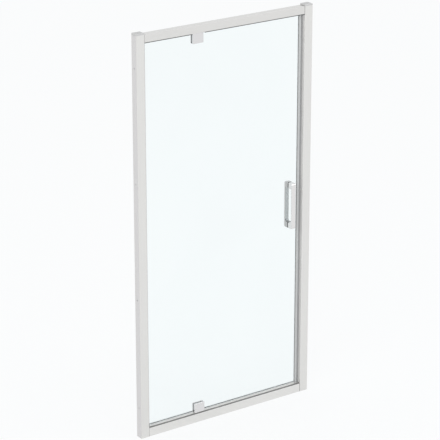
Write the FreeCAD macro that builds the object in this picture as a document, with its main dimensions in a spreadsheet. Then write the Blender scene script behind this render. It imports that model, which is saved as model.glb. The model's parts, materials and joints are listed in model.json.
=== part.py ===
import FreeCAD, Part
import math
import os
import Sketcher

# A framed pivot shower door: two telescoping wall channels, a frame of two stiles and two rails, and a
# glass leaf that turns on two pins. Millimetres. X runs along the door to the strike side, Y from the room
# into the shower, Z up. The origin is at the bottom of the frame, midway along it, in the middle plane of
# the glass.

# Driving dimensions. Each is written once, here, and every sketch, feature and placement follows them.
SIZES = {
    # frame
    "overall_width": 970,
    "overall_height": 1950,
    "frame_depth": 38,
    "frame_wall": 1.8,
    "frame_edge_radius": 1.2,
    "stile_width": 44,
    "cap_thickness": 8,
    "cap_edge_radius": 1.5,
    "cap_spigot_height": 5,
    "header_height": 36,
    "sill_height": 44,
    # screw ports inside the rails, and the screws that go into them through the stiles
    "port_lug": 8,
    "header_port_drop": 13,
    "sill_port_rise": 12,
    "corner_screw_diameter": 4.2,
    "corner_screw_length": 20,
    "corner_head_diameter": 7,
    "corner_head_height": 2.6,
    # wall channels and the clamps that hold them
    "channel_wall": 1.8,
    "channel_leg": 36,
    "channel_end_gap": 0.5,
    "width_adjustment": 20,
    "wall_hole_diameter": 5.5,
    "outer_wall_hole_spacing": 1640,
    "inner_wall_hole_spacing": 560,
    "clamp_spacing": 700,
    "clamp_from_wall": 9,
    "clamp_screw_diameter": 4,
    "clamp_screw_length": 10,
    "clamp_head_diameter": 7.6,
    "clamp_head_height": 2.4,
    "clamp_washer_diameter": 9,
    "clamp_washer_thickness": 1,
    "clamp_nut_size": 7,
    "clamp_nut_thickness": 3.2,
    # glass
    "glass_thickness": 6,
    "glass_arris": 0.5,
    "glass_hinge_gap": 6,
    "glass_strike_gap": 18,
    "glass_header_gap": 6,
    "glass_sill_gap": 7,
    "glass_hole_diameter": 12,
    "notch_clearance": 1,
    "notch_corner_radius": 3,
    # pivot
    "pivot_from_hinge_side": 334,
    "pin_diameter": 8,
    "pin_grip": 20,
    "pin_reach": 10,
    "pin_chamfer": 0.8,
    "bush_sleeve_diameter": 14,
    "bush_sleeve_length": 12,
    "bush_flange_diameter": 20,
    "header_flange": 5.5,
    "sill_flange": 3.5,
    "thrust_washer_diameter": 20,
    "thrust_washer_thickness": 2,
    "insert_length": 44,
    "insert_thickness": 15,
    "insert_screw_spacing": 32,
    "insert_screw_diameter": 3,
    "insert_screw_length": 12,
    "insert_head_diameter": 5.8,
    # pivot clamps
    "clamp_width": 57,
    "clamp_height": 48.5,
    "clamp_rail_gap": 0.5,
    "clamp_plate": 9,
    "clamp_edge_radius": 1.5,
    "gasket_thickness": 1,
    "gasket_inset": 1,
    "boss_width": 16,
    "boss_height": 26,
    "boss_front_reach": 3,
    "pivot_screw_spacing": 38,
    "pivot_screw_height": 32,
    "pivot_screw_diameter": 5,
    "pivot_head_diameter": 9.8,
    "pivot_thread_depth": 6,
    # handle
    "handle_from_strike_side": 105,
    "handle_centre_height": 980,
    "handle_hole_spacing": 200,
    "handle_width": 22,
    "handle_bar": 8,
    "handle_arm": 28,
    "handle_projection": 29,
    "handle_bend_radius": 9,
    "handle_inner_radius": 6,
    "handle_edge_radius": 1.2,
    "stud_diameter": 6,
    "stud_depth": 11,
    "stud_chamfer": 0.8,
    "grub_diameter": 4,
    "grub_length": 6,
    "grub_from_foot": 6,
    # seals
    "edge_profile_depth": 8,
    "edge_profile_grip": 3.5,
    "edge_profile_wall": 1.5,
    "magnet_skin": 0.75,
    "edge_lip_width": 2.5,
    "edge_lip_thickness": 1.2,
    "magnet_gap": 1.5,
    "strike_stop_lap": 4,
    "strike_stop_gap": 0.5,
    "hinge_seal_lap": 4,
    "hinge_seal_foot": 10.7,
    "hinge_seal_thickness": 2.2,
    "hinge_seal_foot_thickness": 1.5,
    "header_seal_height": 4,
    "header_seal_thickness": 2,
    "header_seal_setback": 2,
    "header_seal_pivot_gap": 5,
    "drip_clip_wall": 1.2,
    "drip_clip_grip": 5,
    "drip_flap_thickness": 1.5,
    "drip_end_gap": 1,
    # clearances: telescoping profiles, a pin that turns in its bush, pieces that pass each other, seated
    # pieces, and a screw in its hole
    "slide_clearance": 0.3,
    "running_clearance": 0.05,
    "passing_gap": 0.3,
    "seat_clearance": 0.1,
    "screw_clearance": 0.2,
}

# How near an edge's direction and middle must be to the ones asked for.
NEAR = 0.001

# Shares of a screw's own sizes: the bevel on its head, and its socket's width and depth.
HEAD_BEVEL = 1 / 3
SOCKET_WIDTH = 0.6
SOCKET_DEPTH = 0.6

HINGE_SIDE = -1
STRIKE_SIDE = 1
IN_FRONT = -1
IN_BACK = 1

# Turns that bring a piece modelled along +Z to another direction.
UPRIGHT = FreeCAD.Rotation()
UPSIDE_DOWN = FreeCAD.Rotation(FreeCAD.Vector(0, 1, 0), 180)
TO_BACK = FreeCAD.Rotation(FreeCAD.Vector(1, 0, 0), -90)
TO_SIDE = {
    HINGE_SIDE: FreeCAD.Rotation(FreeCAD.Vector(0, 1, 0), -90),
    STRIKE_SIDE: FreeCAD.Rotation(FreeCAD.Vector(0, 1, 0), 90),
}
FACING_BACK = FreeCAD.Rotation(FreeCAD.Vector(0, 0, 1), 180)


class Length:
    """A size that keeps both its value in millimetres and the sheet's expression it comes from."""

    def __init__(self, value, text):
        self.value = value
        self.text = text

    def __add__(self, other):
        other = as_length(other)
        return Length(self.value + other.value, f"({self.text} + {other.text})")

    def __sub__(self, other):
        other = as_length(other)
        return Length(self.value - other.value, f"({self.text} - {other.text})")

    def __mul__(self, factor):
        return Length(self.value * factor, f"({self.text} * {factor})")

    def __truediv__(self, divisor):
        return Length(self.value / divisor, f"({self.text} / {divisor})")

    def __neg__(self):
        return Length(-self.value, f"(-1 * {self.text})")


def as_length(item):
    return item if isinstance(item, Length) else Length(item, str(item))


class Sizes:
    """The driving dimensions as Length values, one attribute each."""

    def __init__(self, table):
        for alias, value in table.items():
            setattr(self, alias, Length(value, f"Sizes.{alias}"))


document = FreeCAD.newDocument("PivotShowerDoor")
sheet = document.addObject("Spreadsheet::Sheet", "Sizes")
for row, (alias, number) in enumerate(SIZES.items(), start=1):
    sheet.set(f"A{row}", alias)
    sheet.set(f"B{row}", str(number))
    sheet.setAlias(f"B{row}", alias)
document.recompute()

size = Sizes(SIZES)
sub_parts = []


# ---- shared helpers ----


def place(item, x, y, z, turn=UPRIGHT):
    """Turns a piece, then ties its position to the sheet."""
    item.Placement = FreeCAD.Placement(FreeCAD.Vector(), turn)
    for axis, distance in zip("xyz", (x, y, z)):
        item.setExpression(f"Placement.Base.{axis}", as_length(distance).text)


def new_body(label, x=0, y=0, z=0, turn=UPRIGHT):
    body = document.addObject("PartDesign::Body", label)
    body.Label = label
    place(body, x, y, z, turn)
    return body


def new_sketch(body, plane, offset=0):
    """A sketch on one of the body's own origin planes, moved along that plane's normal."""
    sketch = body.newObject("Sketcher::SketchObject", "Sketch")
    support = next(item for item in body.Origin.OriginFeatures if item.Role == plane)
    sketch.AttachmentSupport = [(support, "")]
    sketch.MapMode = "FlatFace"
    sketch.setExpression("AttachmentOffset.Base.z", as_length(offset).text)
    return sketch


def constrain(sketch, *definition, length):
    """Adds a dimension to a sketch and ties it to the sheet."""
    length = as_length(length)
    number = sketch.addConstraint(Sketcher.Constraint(*definition, float(length.value)))
    sketch.setExpression(f"Constraints[{number}]", length.text)


def pin_point(sketch, curve, vertex, x, y):
    constrain(sketch, "DistanceX", -1, 1, curve, vertex, length=x)
    constrain(sketch, "DistanceY", -1, 1, curve, vertex, length=y)


def draw_outline(sketch, corners):
    """A closed outline of straight lines through the corners."""
    first = sketch.GeometryCount
    points = [FreeCAD.Vector(as_length(x).value, as_length(y).value, 0) for x, y in corners]
    for start, end in zip(points, points[1:] + points[:1]):
        sketch.addGeometry(Part.LineSegment(start, end))
    for number, (x, y) in enumerate(corners):
        following = first + (number + 1) % len(corners)
        sketch.addConstraint(Sketcher.Constraint("Coincident", first + number, 2, following, 1))
        pin_point(sketch, first + number, 1, x, y)


def draw_rectangle(sketch, x_low, y_low, x_high, y_high):
    draw_outline(sketch, [(x_low, y_low), (x_high, y_low), (x_high, y_high), (x_low, y_high)])


def draw_circle(sketch, x, y, radius):
    centre = FreeCAD.Vector(as_length(x).value, as_length(y).value, 0)
    curve = sketch.addGeometry(Part.Circle(centre, FreeCAD.Vector(0, 0, 1), as_length(radius).value))
    pin_point(sketch, curve, 3, x, y)
    constrain(sketch, "Radius", curve, length=radius)


def draw_slot(sketch, x_low, x_high, y, radius):
    """A slot along X with round ends, centred on y, whose end arcs are centred on x_low and x_high."""
    low, high = FreeCAD.Vector(x_low.value, y.value, 0), FreeCAD.Vector(x_high.value, y.value, 0)
    rise = FreeCAD.Vector(0, radius.value, 0)
    up = FreeCAD.Vector(0, 0, 1)
    quarter = math.pi / 2
    top = sketch.addGeometry(Part.LineSegment(high + rise, low + rise))
    left = sketch.addGeometry(Part.ArcOfCircle(Part.Circle(low, up, radius.value), quarter, 3 * quarter))
    bottom = sketch.addGeometry(Part.LineSegment(low - rise, high - rise))
    right = sketch.addGeometry(Part.ArcOfCircle(Part.Circle(high, up, radius.value), -quarter, quarter))
    for curve, following in ((top, left), (left, bottom), (bottom, right), (right, top)):
        sketch.addConstraint(Sketcher.Constraint("Coincident", curve, 2, following, 1))
    pin_point(sketch, top, 1, x_high, y + radius)
    pin_point(sketch, top, 2, x_low, y + radius)
    pin_point(sketch, bottom, 1, x_low, y - radius)
    pin_point(sketch, bottom, 2, x_high, y - radius)
    constrain(sketch, "DistanceX", -1, 1, left, 3, length=x_low)
    constrain(sketch, "DistanceX", -1, 1, right, 3, length=x_high)


def pad(body, sketch, length, symmetric=False, reverse=False):
    """Grows the sketch along its plane's normal, or to both sides of it."""
    feature = body.newObject("PartDesign::Pad", "Pad")
    feature.Profile = sketch
    feature.SideType = "Symmetric" if symmetric else "One side"
    feature.Reversed = reverse
    feature.setExpression("Length", length.text)
    document.recompute()


def check_cut(body, volume_before):
    """Compares volumes, because a cut that points away from the solid removes nothing without an error."""
    if not body.Shape.Volume < volume_before:
        raise ValueError(f"a cut in {body.Label} removes nothing")


def cut(body, sketch, depth=None, reverse=False):
    """Cuts the sketch against its plane's normal, or along it when reversed. No depth means through."""
    volume_before = body.Shape.Volume
    feature = body.newObject("PartDesign::Pocket", "Pocket")
    feature.Profile = sketch
    feature.Reversed = reverse
    if depth is None:
        feature.Type = "ThroughAll"
    else:
        feature.setExpression("Length", depth.text)
    document.recompute()
    check_cut(body, volume_before)


def countersink(body, sketch, depth, hole_diameter, head_diameter, reverse=False):
    """Drills the sketch's circles with a right-angled countersink at the sketch's plane."""
    volume_before = body.Shape.Volume
    document.recompute()
    hole = body.newObject("PartDesign::Hole", "Hole")
    hole.Profile = sketch
    hole.ThreadType = "None"
    hole.DepthType = "Dimension"
    hole.DrillPoint = "Flat"
    hole.HoleCutType = "Countersink"
    hole.HoleCutCustomValues = True
    hole.HoleCutCountersinkAngle = 90
    hole.Reversed = reverse
    hole.setExpression("Depth", depth.text)
    hole.setExpression("Diameter", hole_diameter.text)
    hole.setExpression("HoleCutDiameter", head_diameter.text)
    document.recompute()
    check_cut(body, volume_before)


def is_straight(edge, direction):
    """Whether an edge is a straight line along the direction."""
    if edge.Curve.TypeId != "Part::GeomLine":
        return False
    return edge.tangentAt(edge.FirstParameter).cross(direction).Length < NEAR


def straight_edges(body, axis, **places):
    """Names of the straight edges along an axis whose middle lies at the given places, such as x=[a, b]."""
    direction = FreeCAD.Vector(*(float(letter == axis) for letter in "xyz"))
    names = []
    for number, edge in enumerate(body.Tip.Shape.Edges, start=1):
        middle = edge.CenterOfMass
        there = all(
            any(abs(getattr(middle, letter) - as_length(spot).value) < NEAR for spot in spots)
            for letter, spots in places.items()
        )
        if there and is_straight(edge, direction):
            names.append(f"Edge{number}")
    if not names:
        raise ValueError(f"no such edge in {body.Label}")
    return names


def edges_of_top_face(body):
    """Names of the edges round a body's highest face."""
    shape = body.Tip.Shape
    top = max(shape.Faces, key=lambda face: face.CenterOfMass.z)
    return [
        f"Edge{number}"
        for number, edge in enumerate(shape.Edges, start=1)
        if any(edge.isSame(other) for other in top.Edges)
    ]


def dress_edges(body, kind, names, amount):
    """Rounds (Fillet) or bevels (Chamfer) the named edges."""
    base = body.Tip
    feature = body.newObject(f"PartDesign::{kind}", kind)
    feature.Base = (base, names)
    feature.setExpression("Radius" if kind == "Fillet" else "Size", amount.text)
    document.recompute()


def keep(item):
    """Marks a finished object as one of the sub-parts that are written out."""
    sub_parts.append(item)
    return item


def strip(label, x_low, x_high, y_low, y_high, z_low, z_high):
    """A plain rectangular strip between the given planes."""
    box = document.addObject("Part::Box", label)
    box.Label = label
    box.setExpression("Length", (x_high - x_low).text)
    box.setExpression("Width", (y_high - y_low).text)
    box.setExpression("Height", (z_high - z_low).text)
    place(box, x_low, y_low, z_low)
    return box


def turned(label, half_section, x=0, y=0, z=0, turn=UPRIGHT):
    """A turned piece: its half section, as (radius, height) corners, revolved round its own Z axis."""
    body = new_body(label, x, y, z, turn)
    sketch = new_sketch(body, "XZ_Plane")
    draw_outline(sketch, half_section)
    revolution = body.newObject("PartDesign::Revolution", "Revolution")
    revolution.Profile = sketch
    axis = next(item for item in body.Origin.OriginFeatures if item.Role == "Z_Axis")
    revolution.ReferenceAxis = (axis, [""])
    document.recompute()
    return body


def ring_section(bore, radius, low, high):
    return [(bore, low), (radius, low), (radius, high), (bore, high)]


def group(label, template, spots, turns=None):
    """One node of identical pieces: a link to the template at each spot, as separate solids."""
    turns = turns or [UPRIGHT] * len(spots)
    links = []
    for (x, y, z), turn in zip(spots, turns):
        link = document.addObject("App::Link", f"{label}_piece")
        link.LinkedObject = template
        place(link, x, y, z, turn)
        links.append(link)
    compound = document.addObject("Part::Compound", label)
    compound.Label = label
    compound.Links = links
    document.recompute()
    return keep(compound)


def socket(body, across_flats, depth, height):
    """A hexagon socket sunk from the top of a screw, whose width and depth follow the screw's own sizes."""
    sketch = new_sketch(body, "XY_Plane", height)
    half_flats = across_flats / 2
    reach = across_flats / math.sqrt(3)
    half_side = reach / 2
    draw_outline(
        sketch,
        [
            (reach, 0),
            (half_side, half_flats),
            (-half_side, half_flats),
            (-reach, 0),
            (-half_side, -half_flats),
            (half_side, -half_flats),
        ],
    )
    cut(body, sketch, depth)


def pan_screw(label, diameter, length, head_diameter, head_height):
    """A pan-head screw pointing down, with the underside of its head at height 0."""
    edge = head_height * HEAD_BEVEL
    body = turned(
        label,
        [
            (0, -length),
            (diameter / 2 - edge / 2, -length),
            (diameter / 2, -length + edge / 2),
            (diameter / 2, 0),
            (head_diameter / 2, 0),
            (head_diameter / 2, head_height - edge),
            (head_diameter / 2 - edge, head_height),
            (0, head_height),
        ],
    )
    socket(body, diameter * SOCKET_WIDTH, head_height * SOCKET_DEPTH, head_height)
    return body


def countersunk_screw(label, diameter, length, head_diameter):
    """A countersunk screw pointing down, with the top of its head at height 0."""
    head = (head_diameter - diameter) / 2
    body = turned(
        label,
        [(0, -length), (diameter / 2, -length), (diameter / 2, -head), (head_diameter / 2, 0), (0, 0)],
    )
    socket(body, diameter * SOCKET_WIDTH, head * SOCKET_DEPTH, 0)
    return body


# ---- places shared by several pieces ----

half_width = size.overall_width / 2
half_depth = size.frame_depth / 2
stile_face = half_width - size.stile_width
cavity_half_depth = half_depth - size.frame_wall
stile_length = size.overall_height - size.cap_thickness
stile_middle = stile_length / 2
header_bottom = stile_length - size.header_height

channel_half_depth = cavity_half_depth - size.slide_clearance
channel_inner_half_depth = channel_half_depth - size.channel_wall
channel_tip = half_width - size.channel_leg

clamp_x = half_width - size.clamp_from_wall
clamp_heights = [stile_middle - size.clamp_spacing, stile_middle, stile_middle + size.clamp_spacing]

port_y = cavity_half_depth - size.port_lug / 2
port_heights = [stile_length - size.header_port_drop, size.sill_port_rise]

pivot_x = size.pivot_from_hinge_side - half_width
glass_half = size.glass_thickness / 2
glass_left = size.glass_hinge_gap - stile_face
glass_right = stile_face - size.glass_strike_gap
glass_bottom = size.sill_height + size.glass_sill_gap
glass_top = header_bottom - size.glass_header_gap

bottom_clamp_end = size.sill_height + size.sill_flange + size.passing_gap + size.thrust_washer_thickness
top_clamp_end = header_bottom - size.header_flange - size.passing_gap
gasket_face = glass_half + size.gasket_thickness
boss_front = gasket_face + size.boss_front_reach
notch_half_width = size.boss_width / 2 + size.notch_clearance
notch_height = size.boss_height + size.notch_clearance
pivot_screw_x = size.pivot_screw_spacing / 2

handle_x = half_width - size.handle_from_strike_side
handle_half_spacing = size.handle_hole_spacing / 2
handle_middle = size.handle_centre_height
handle_heights = [handle_middle - handle_half_spacing, handle_middle + handle_half_spacing]
handle_front = glass_half + size.handle_projection


# ---- wall channels and frame ----


def make_channel(label, side):
    """A U-shaped wall channel: its web is screwed to the wall and its legs slide inside the stile."""
    body = new_body(label)
    wall_x = half_width * side
    web_x = (half_width - size.channel_wall) * side
    tip_x = channel_tip * side
    section = new_sketch(body, "XY_Plane")
    draw_outline(
        section,
        [
            (wall_x, -channel_half_depth),
            (tip_x, -channel_half_depth),
            (tip_x, -channel_inner_half_depth),
            (web_x, -channel_inner_half_depth),
            (web_x, channel_inner_half_depth),
            (tip_x, channel_inner_half_depth),
            (tip_x, channel_half_depth),
            (wall_x, channel_half_depth),
        ],
    )
    pad(body, section, stile_length - size.channel_end_gap)
    wall_holes = new_sketch(body, "YZ_Plane", wall_x)
    for spacing in (size.outer_wall_hole_spacing, size.inner_wall_hole_spacing):
        draw_circle(wall_holes, 0, stile_middle - spacing / 2, size.wall_hole_diameter / 2)
        draw_circle(wall_holes, 0, stile_middle + spacing / 2, size.wall_hole_diameter / 2)
    cut(body, wall_holes, size.channel_wall, reverse=side == HINGE_SIDE)
    slots = new_sketch(body, "XZ_Plane")
    at_rest = clamp_x * side
    drawn_out = (clamp_x - size.width_adjustment) * side
    slot_low, slot_high = (at_rest, drawn_out) if side == HINGE_SIDE else (drawn_out, at_rest)
    for height in clamp_heights:
        draw_slot(slots, slot_low, slot_high, height, size.clamp_screw_diameter / 2 + size.passing_gap)
    cut(body, slots)
    return keep(body)


def make_stile(label, side):
    """An upright of the frame, open towards the wall, drilled for the corner screws and the clamp screws."""
    body = new_body(label)
    wall_x = half_width * side
    face_x = stile_face * side
    web_x = (stile_face + size.frame_wall) * side
    section = new_sketch(body, "XY_Plane")
    draw_outline(
        section,
        [
            (wall_x, -half_depth),
            (face_x, -half_depth),
            (face_x, half_depth),
            (wall_x, half_depth),
            (wall_x, cavity_half_depth),
            (web_x, cavity_half_depth),
            (web_x, -cavity_half_depth),
            (wall_x, -cavity_half_depth),
        ],
    )
    pad(body, section, stile_length)
    long_edges = straight_edges(body, "z", x=[face_x], y=[-half_depth, half_depth])
    dress_edges(body, "Fillet", long_edges, size.frame_edge_radius)
    screw_holes = new_sketch(body, "YZ_Plane", face_x)
    for height in port_heights:
        for y in (-port_y, port_y):
            draw_circle(screw_holes, y, height, size.corner_screw_diameter / 2 + size.screw_clearance)
    cut(body, screw_holes, size.frame_wall, reverse=side == STRIKE_SIDE)
    clamp_holes = new_sketch(body, "XZ_Plane")
    hole_radius = size.clamp_screw_diameter / 2 + size.screw_clearance
    for height in clamp_heights:
        draw_circle(clamp_holes, clamp_x * side, height, hole_radius)
    cut(body, clamp_holes)
    return keep(body)


def make_cap(label, side):
    """A moulded cap over the stile's end. Its spigot sits between the stile's web and the channel's legs."""
    body = new_body(label, z=stile_length)
    plate = new_sketch(body, "XY_Plane")
    low, high = sorted((half_width * side, stile_face * side), key=lambda length: length.value)
    draw_rectangle(plate, low, -half_depth, high, half_depth)
    pad(body, plate, size.cap_thickness)
    corners = straight_edges(body, "z", x=[stile_face * side], y=[-half_depth, half_depth])
    dress_edges(body, "Fillet", corners, size.frame_edge_radius)
    dress_edges(body, "Fillet", edges_of_top_face(body), size.cap_edge_radius)
    spigot = new_sketch(body, "XY_Plane")
    web_x = (stile_face + size.frame_wall + size.seat_clearance) * side
    end_x = (channel_tip - size.slide_clearance) * side
    low, high = sorted((web_x, end_x), key=lambda length: length.value)
    spigot_half_depth = cavity_half_depth - size.seat_clearance
    draw_rectangle(spigot, low, -spigot_half_depth, high, spigot_half_depth)
    pad(body, spigot, size.cap_spigot_height, reverse=True)
    return keep(body)


def make_rail(label, height, port_height, z):
    """A hollow rail between the stiles, with a screw port on its front wall and one on its back wall."""
    body = new_body(label, z=z)
    lug = size.port_lug
    lug_y = cavity_half_depth - lug
    lug_low, lug_high = port_height - lug / 2, port_height + lug / 2
    floor, ceiling = size.frame_wall, height - size.frame_wall
    section = new_sketch(body, "YZ_Plane")
    draw_rectangle(section, -half_depth, 0, half_depth, height)
    draw_outline(
        section,
        [
            (-cavity_half_depth, floor),
            (cavity_half_depth, floor),
            (cavity_half_depth, lug_low),
            (lug_y, lug_low),
            (lug_y, lug_high),
            (cavity_half_depth, lug_high),
            (cavity_half_depth, ceiling),
            (-cavity_half_depth, ceiling),
            (-cavity_half_depth, lug_high),
            (-lug_y, lug_high),
            (-lug_y, lug_low),
            (-cavity_half_depth, lug_low),
        ],
    )
    for y in (-port_y, port_y):
        draw_circle(section, y, port_height, size.corner_screw_diameter / 2 + size.seat_clearance)
    pad(body, section, stile_face * 2, symmetric=True)
    long_edges = straight_edges(body, "x", y=[-half_depth, half_depth], z=[0, height])
    dress_edges(body, "Fillet", long_edges, size.frame_edge_radius)
    return body


def bore_for_pivot(body, inner_face, outer_face, reverse_screws):
    """Opens a rail's wall for the bush and countersinks it for the insert's screws."""
    bush_hole = new_sketch(body, "XY_Plane", inner_face)
    draw_circle(bush_hole, pivot_x, 0, size.bush_sleeve_diameter / 2 + size.seat_clearance)
    cut(body, bush_hole, size.frame_wall)
    screw_holes = new_sketch(body, "XY_Plane", outer_face)
    for offset in (-size.insert_screw_spacing / 2, size.insert_screw_spacing / 2):
        draw_circle(screw_holes, pivot_x + offset, 0, size.insert_screw_diameter / 2 + size.screw_clearance)
    countersink(
        body,
        screw_holes,
        size.frame_wall,
        size.insert_screw_diameter + size.screw_clearance * 2,
        size.insert_head_diameter + size.screw_clearance * 2,
        reverse_screws,
    )


def make_header():
    port_rise = size.header_height - size.header_port_drop
    body = make_rail("header_rail", size.header_height, port_rise, header_bottom)
    bore_for_pivot(body, size.frame_wall, as_length(0), True)
    return keep(body)


def make_sill():
    body = make_rail("sill_rail", size.sill_height, size.sill_port_rise, as_length(0))
    bore_for_pivot(body, size.sill_height, size.sill_height, False)
    return keep(body)


def make_insert(label, z):
    """A block inside the rail that backs up the bush and takes the two screws."""
    body = new_body(label, x=pivot_x, z=z)
    plan = new_sketch(body, "XY_Plane")
    half_length = size.insert_length / 2
    insert_half_depth = cavity_half_depth - size.seat_clearance
    draw_rectangle(plan, -half_length, -insert_half_depth, half_length, insert_half_depth)
    draw_circle(plan, 0, 0, size.bush_sleeve_diameter / 2 + size.seat_clearance)
    for x in (-size.insert_screw_spacing / 2, size.insert_screw_spacing / 2):
        draw_circle(plan, x, 0, size.insert_screw_diameter / 2 + size.running_clearance)
    pad(body, plan, size.insert_thickness)
    return keep(body)


def make_bush(label, flange, z, turn):
    """A flanged bush pushed into the rail from outside. Its flange stands on the rail's face."""
    bore = size.pin_diameter / 2 + size.running_clearance
    sleeve = size.bush_sleeve_diameter / 2
    brim = size.bush_flange_diameter / 2
    section = [(bore, -size.bush_sleeve_length), (sleeve, -size.bush_sleeve_length)]
    section += [(sleeve, 0), (brim, 0), (brim, flange), (bore, flange)]
    return keep(turned(label, section, x=pivot_x, z=z, turn=turn))


def make_insert_screws(template):
    half_spacing = size.insert_screw_spacing / 2
    for label, z, turn in (
        ("header_insert_screws", header_bottom, UPSIDE_DOWN),
        ("sill_insert_screws", size.sill_height, UPRIGHT),
    ):
        spots = [(pivot_x - half_spacing, 0, z), (pivot_x + half_spacing, 0, z)]
        group(label, template, spots, [turn, turn])


def make_corner_screws():
    """Two screws through each stile into each rail's end, with their heads inside the stile."""
    screw = pan_screw(
        "corner_screw",
        size.corner_screw_diameter,
        size.corner_screw_length,
        size.corner_head_diameter,
        size.corner_head_height,
    )
    web = stile_face + size.frame_wall
    for label, height in zip(("header_corner_screws", "sill_corner_screws"), port_heights):
        spots, turns = [], []
        for side in (HINGE_SIDE, STRIKE_SIDE):
            for y in (-port_y, port_y):
                spots.append((web * side, y, height))
                turns.append(TO_SIDE[side])
        group(label, screw, spots, turns)


def make_width_clamps():
    """Screw, washer and square nut that pinch the wall channel against the stile's back leg."""
    screw = pan_screw(
        "clamp_screw",
        size.clamp_screw_diameter,
        size.clamp_screw_length,
        size.clamp_head_diameter,
        size.clamp_head_height,
    )
    bore = size.clamp_screw_diameter / 2 + size.screw_clearance
    washer = turned(
        "clamp_washer",
        ring_section(bore, size.clamp_washer_diameter / 2, 0, size.clamp_washer_thickness),
    )
    nut = new_body("clamp_nut")
    plan = new_sketch(nut, "XY_Plane")
    half_nut = size.clamp_nut_size / 2
    draw_rectangle(plan, -half_nut, -half_nut, half_nut, half_nut)
    draw_circle(plan, 0, 0, size.clamp_screw_diameter / 2 + size.running_clearance)
    pad(nut, plan, size.clamp_nut_thickness, reverse=True)
    seats = (
        ("clamp_screws", screw, half_depth + size.clamp_washer_thickness),
        ("clamp_washers", washer, half_depth),
        ("clamp_nuts", nut, channel_inner_half_depth - size.slide_clearance),
    )
    for side_name, side in (("hinge", HINGE_SIDE), ("strike", STRIKE_SIDE)):
        for name, template, y in seats:
            spots = [(clamp_x * side, y, height) for height in clamp_heights]
            group(f"{side_name}_{name}", template, spots, [TO_BACK] * len(spots))


# ---- door leaf ----


def make_glass():
    """The toughened panel: notched at both pivots, drilled for the clamps and the handle, edges arrissed."""
    body = new_body("glass_panel")
    face = new_sketch(body, "XZ_Plane")
    notch_left, notch_right = pivot_x - notch_half_width, pivot_x + notch_half_width
    notch_top_of_bottom = bottom_clamp_end + notch_height
    notch_bottom_of_top = top_clamp_end - notch_height
    draw_outline(
        face,
        [
            (glass_left, glass_bottom),
            (notch_left, glass_bottom),
            (notch_left, notch_top_of_bottom),
            (notch_right, notch_top_of_bottom),
            (notch_right, glass_bottom),
            (glass_right, glass_bottom),
            (glass_right, glass_top),
            (notch_right, glass_top),
            (notch_right, notch_bottom_of_top),
            (notch_left, notch_bottom_of_top),
            (notch_left, glass_top),
            (glass_left, glass_top),
        ],
    )
    hole = size.glass_hole_diameter / 2
    for x in (pivot_x - pivot_screw_x, pivot_x + pivot_screw_x):
        draw_circle(face, x, bottom_clamp_end + size.pivot_screw_height, hole)
        draw_circle(face, x, top_clamp_end - size.pivot_screw_height, hole)
    for height in handle_heights:
        draw_circle(face, handle_x, height, hole)
    pad(body, face, size.glass_thickness, symmetric=True)
    notch_corners = straight_edges(
        body, "y", x=[notch_left, notch_right], z=[notch_top_of_bottom, notch_bottom_of_top]
    )
    dress_edges(body, "Fillet", notch_corners, size.notch_corner_radius)
    rims = [-glass_half, glass_half]
    border = straight_edges(body, "z", x=[glass_left, glass_right], y=rims)
    border += straight_edges(body, "x", y=rims, z=[glass_bottom, glass_top])
    dress_edges(body, "Chamfer", border, size.glass_arris)
    return keep(body)


def make_plate(label, side, skirt, z, turn):
    """A clamp's plate on one side of the glass. Its skirt hides the bush's flange, which turns in a round
    recess in the skirt."""
    body = new_body(label, x=pivot_x, z=z, turn=turn)
    half_clamp = size.clamp_width / 2
    low, high = -skirt, size.clamp_height - skirt
    face = new_sketch(body, "XZ_Plane", -gasket_face * side)
    draw_rectangle(face, -half_clamp, low, half_clamp, high)
    pad(body, face, size.clamp_plate, reverse=side == IN_BACK)
    show_face = (gasket_face + size.clamp_plate) * side
    rim = straight_edges(body, "x", y=[show_face], z=[low, high])
    rim += straight_edges(body, "z", y=[show_face], x=[-half_clamp, half_clamp])
    rim += straight_edges(body, "y", x=[-half_clamp, half_clamp], z=[low, high])
    dress_edges(body, "Fillet", rim, size.clamp_edge_radius)
    recess = new_sketch(body, "XY_Plane", low)
    draw_circle(recess, 0, 0, size.bush_flange_diameter / 2 + size.passing_gap)
    cut(body, recess, skirt, reverse=True)
    return body


def make_front_plate(label, skirt, z, turn):
    """The clamp's plain front plate, with blind threaded holes and a pocket for the other plate's boss."""
    body = make_plate(label, IN_FRONT, skirt, z, turn)
    pocket = new_sketch(body, "XZ_Plane", gasket_face)
    pocket_half = size.boss_width / 2 + size.screw_clearance
    draw_rectangle(pocket, -pocket_half, 0, pocket_half, size.boss_height + size.screw_clearance)
    cut(body, pocket, size.boss_front_reach + size.screw_clearance, reverse=True)
    threads = new_sketch(body, "XZ_Plane", gasket_face)
    thread_radius = size.pivot_screw_diameter / 2 + size.running_clearance
    for x in (-pivot_screw_x, pivot_screw_x):
        draw_circle(threads, x, size.pivot_screw_height, thread_radius)
    cut(body, threads, size.pivot_thread_depth, reverse=True)
    return keep(body)


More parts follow.
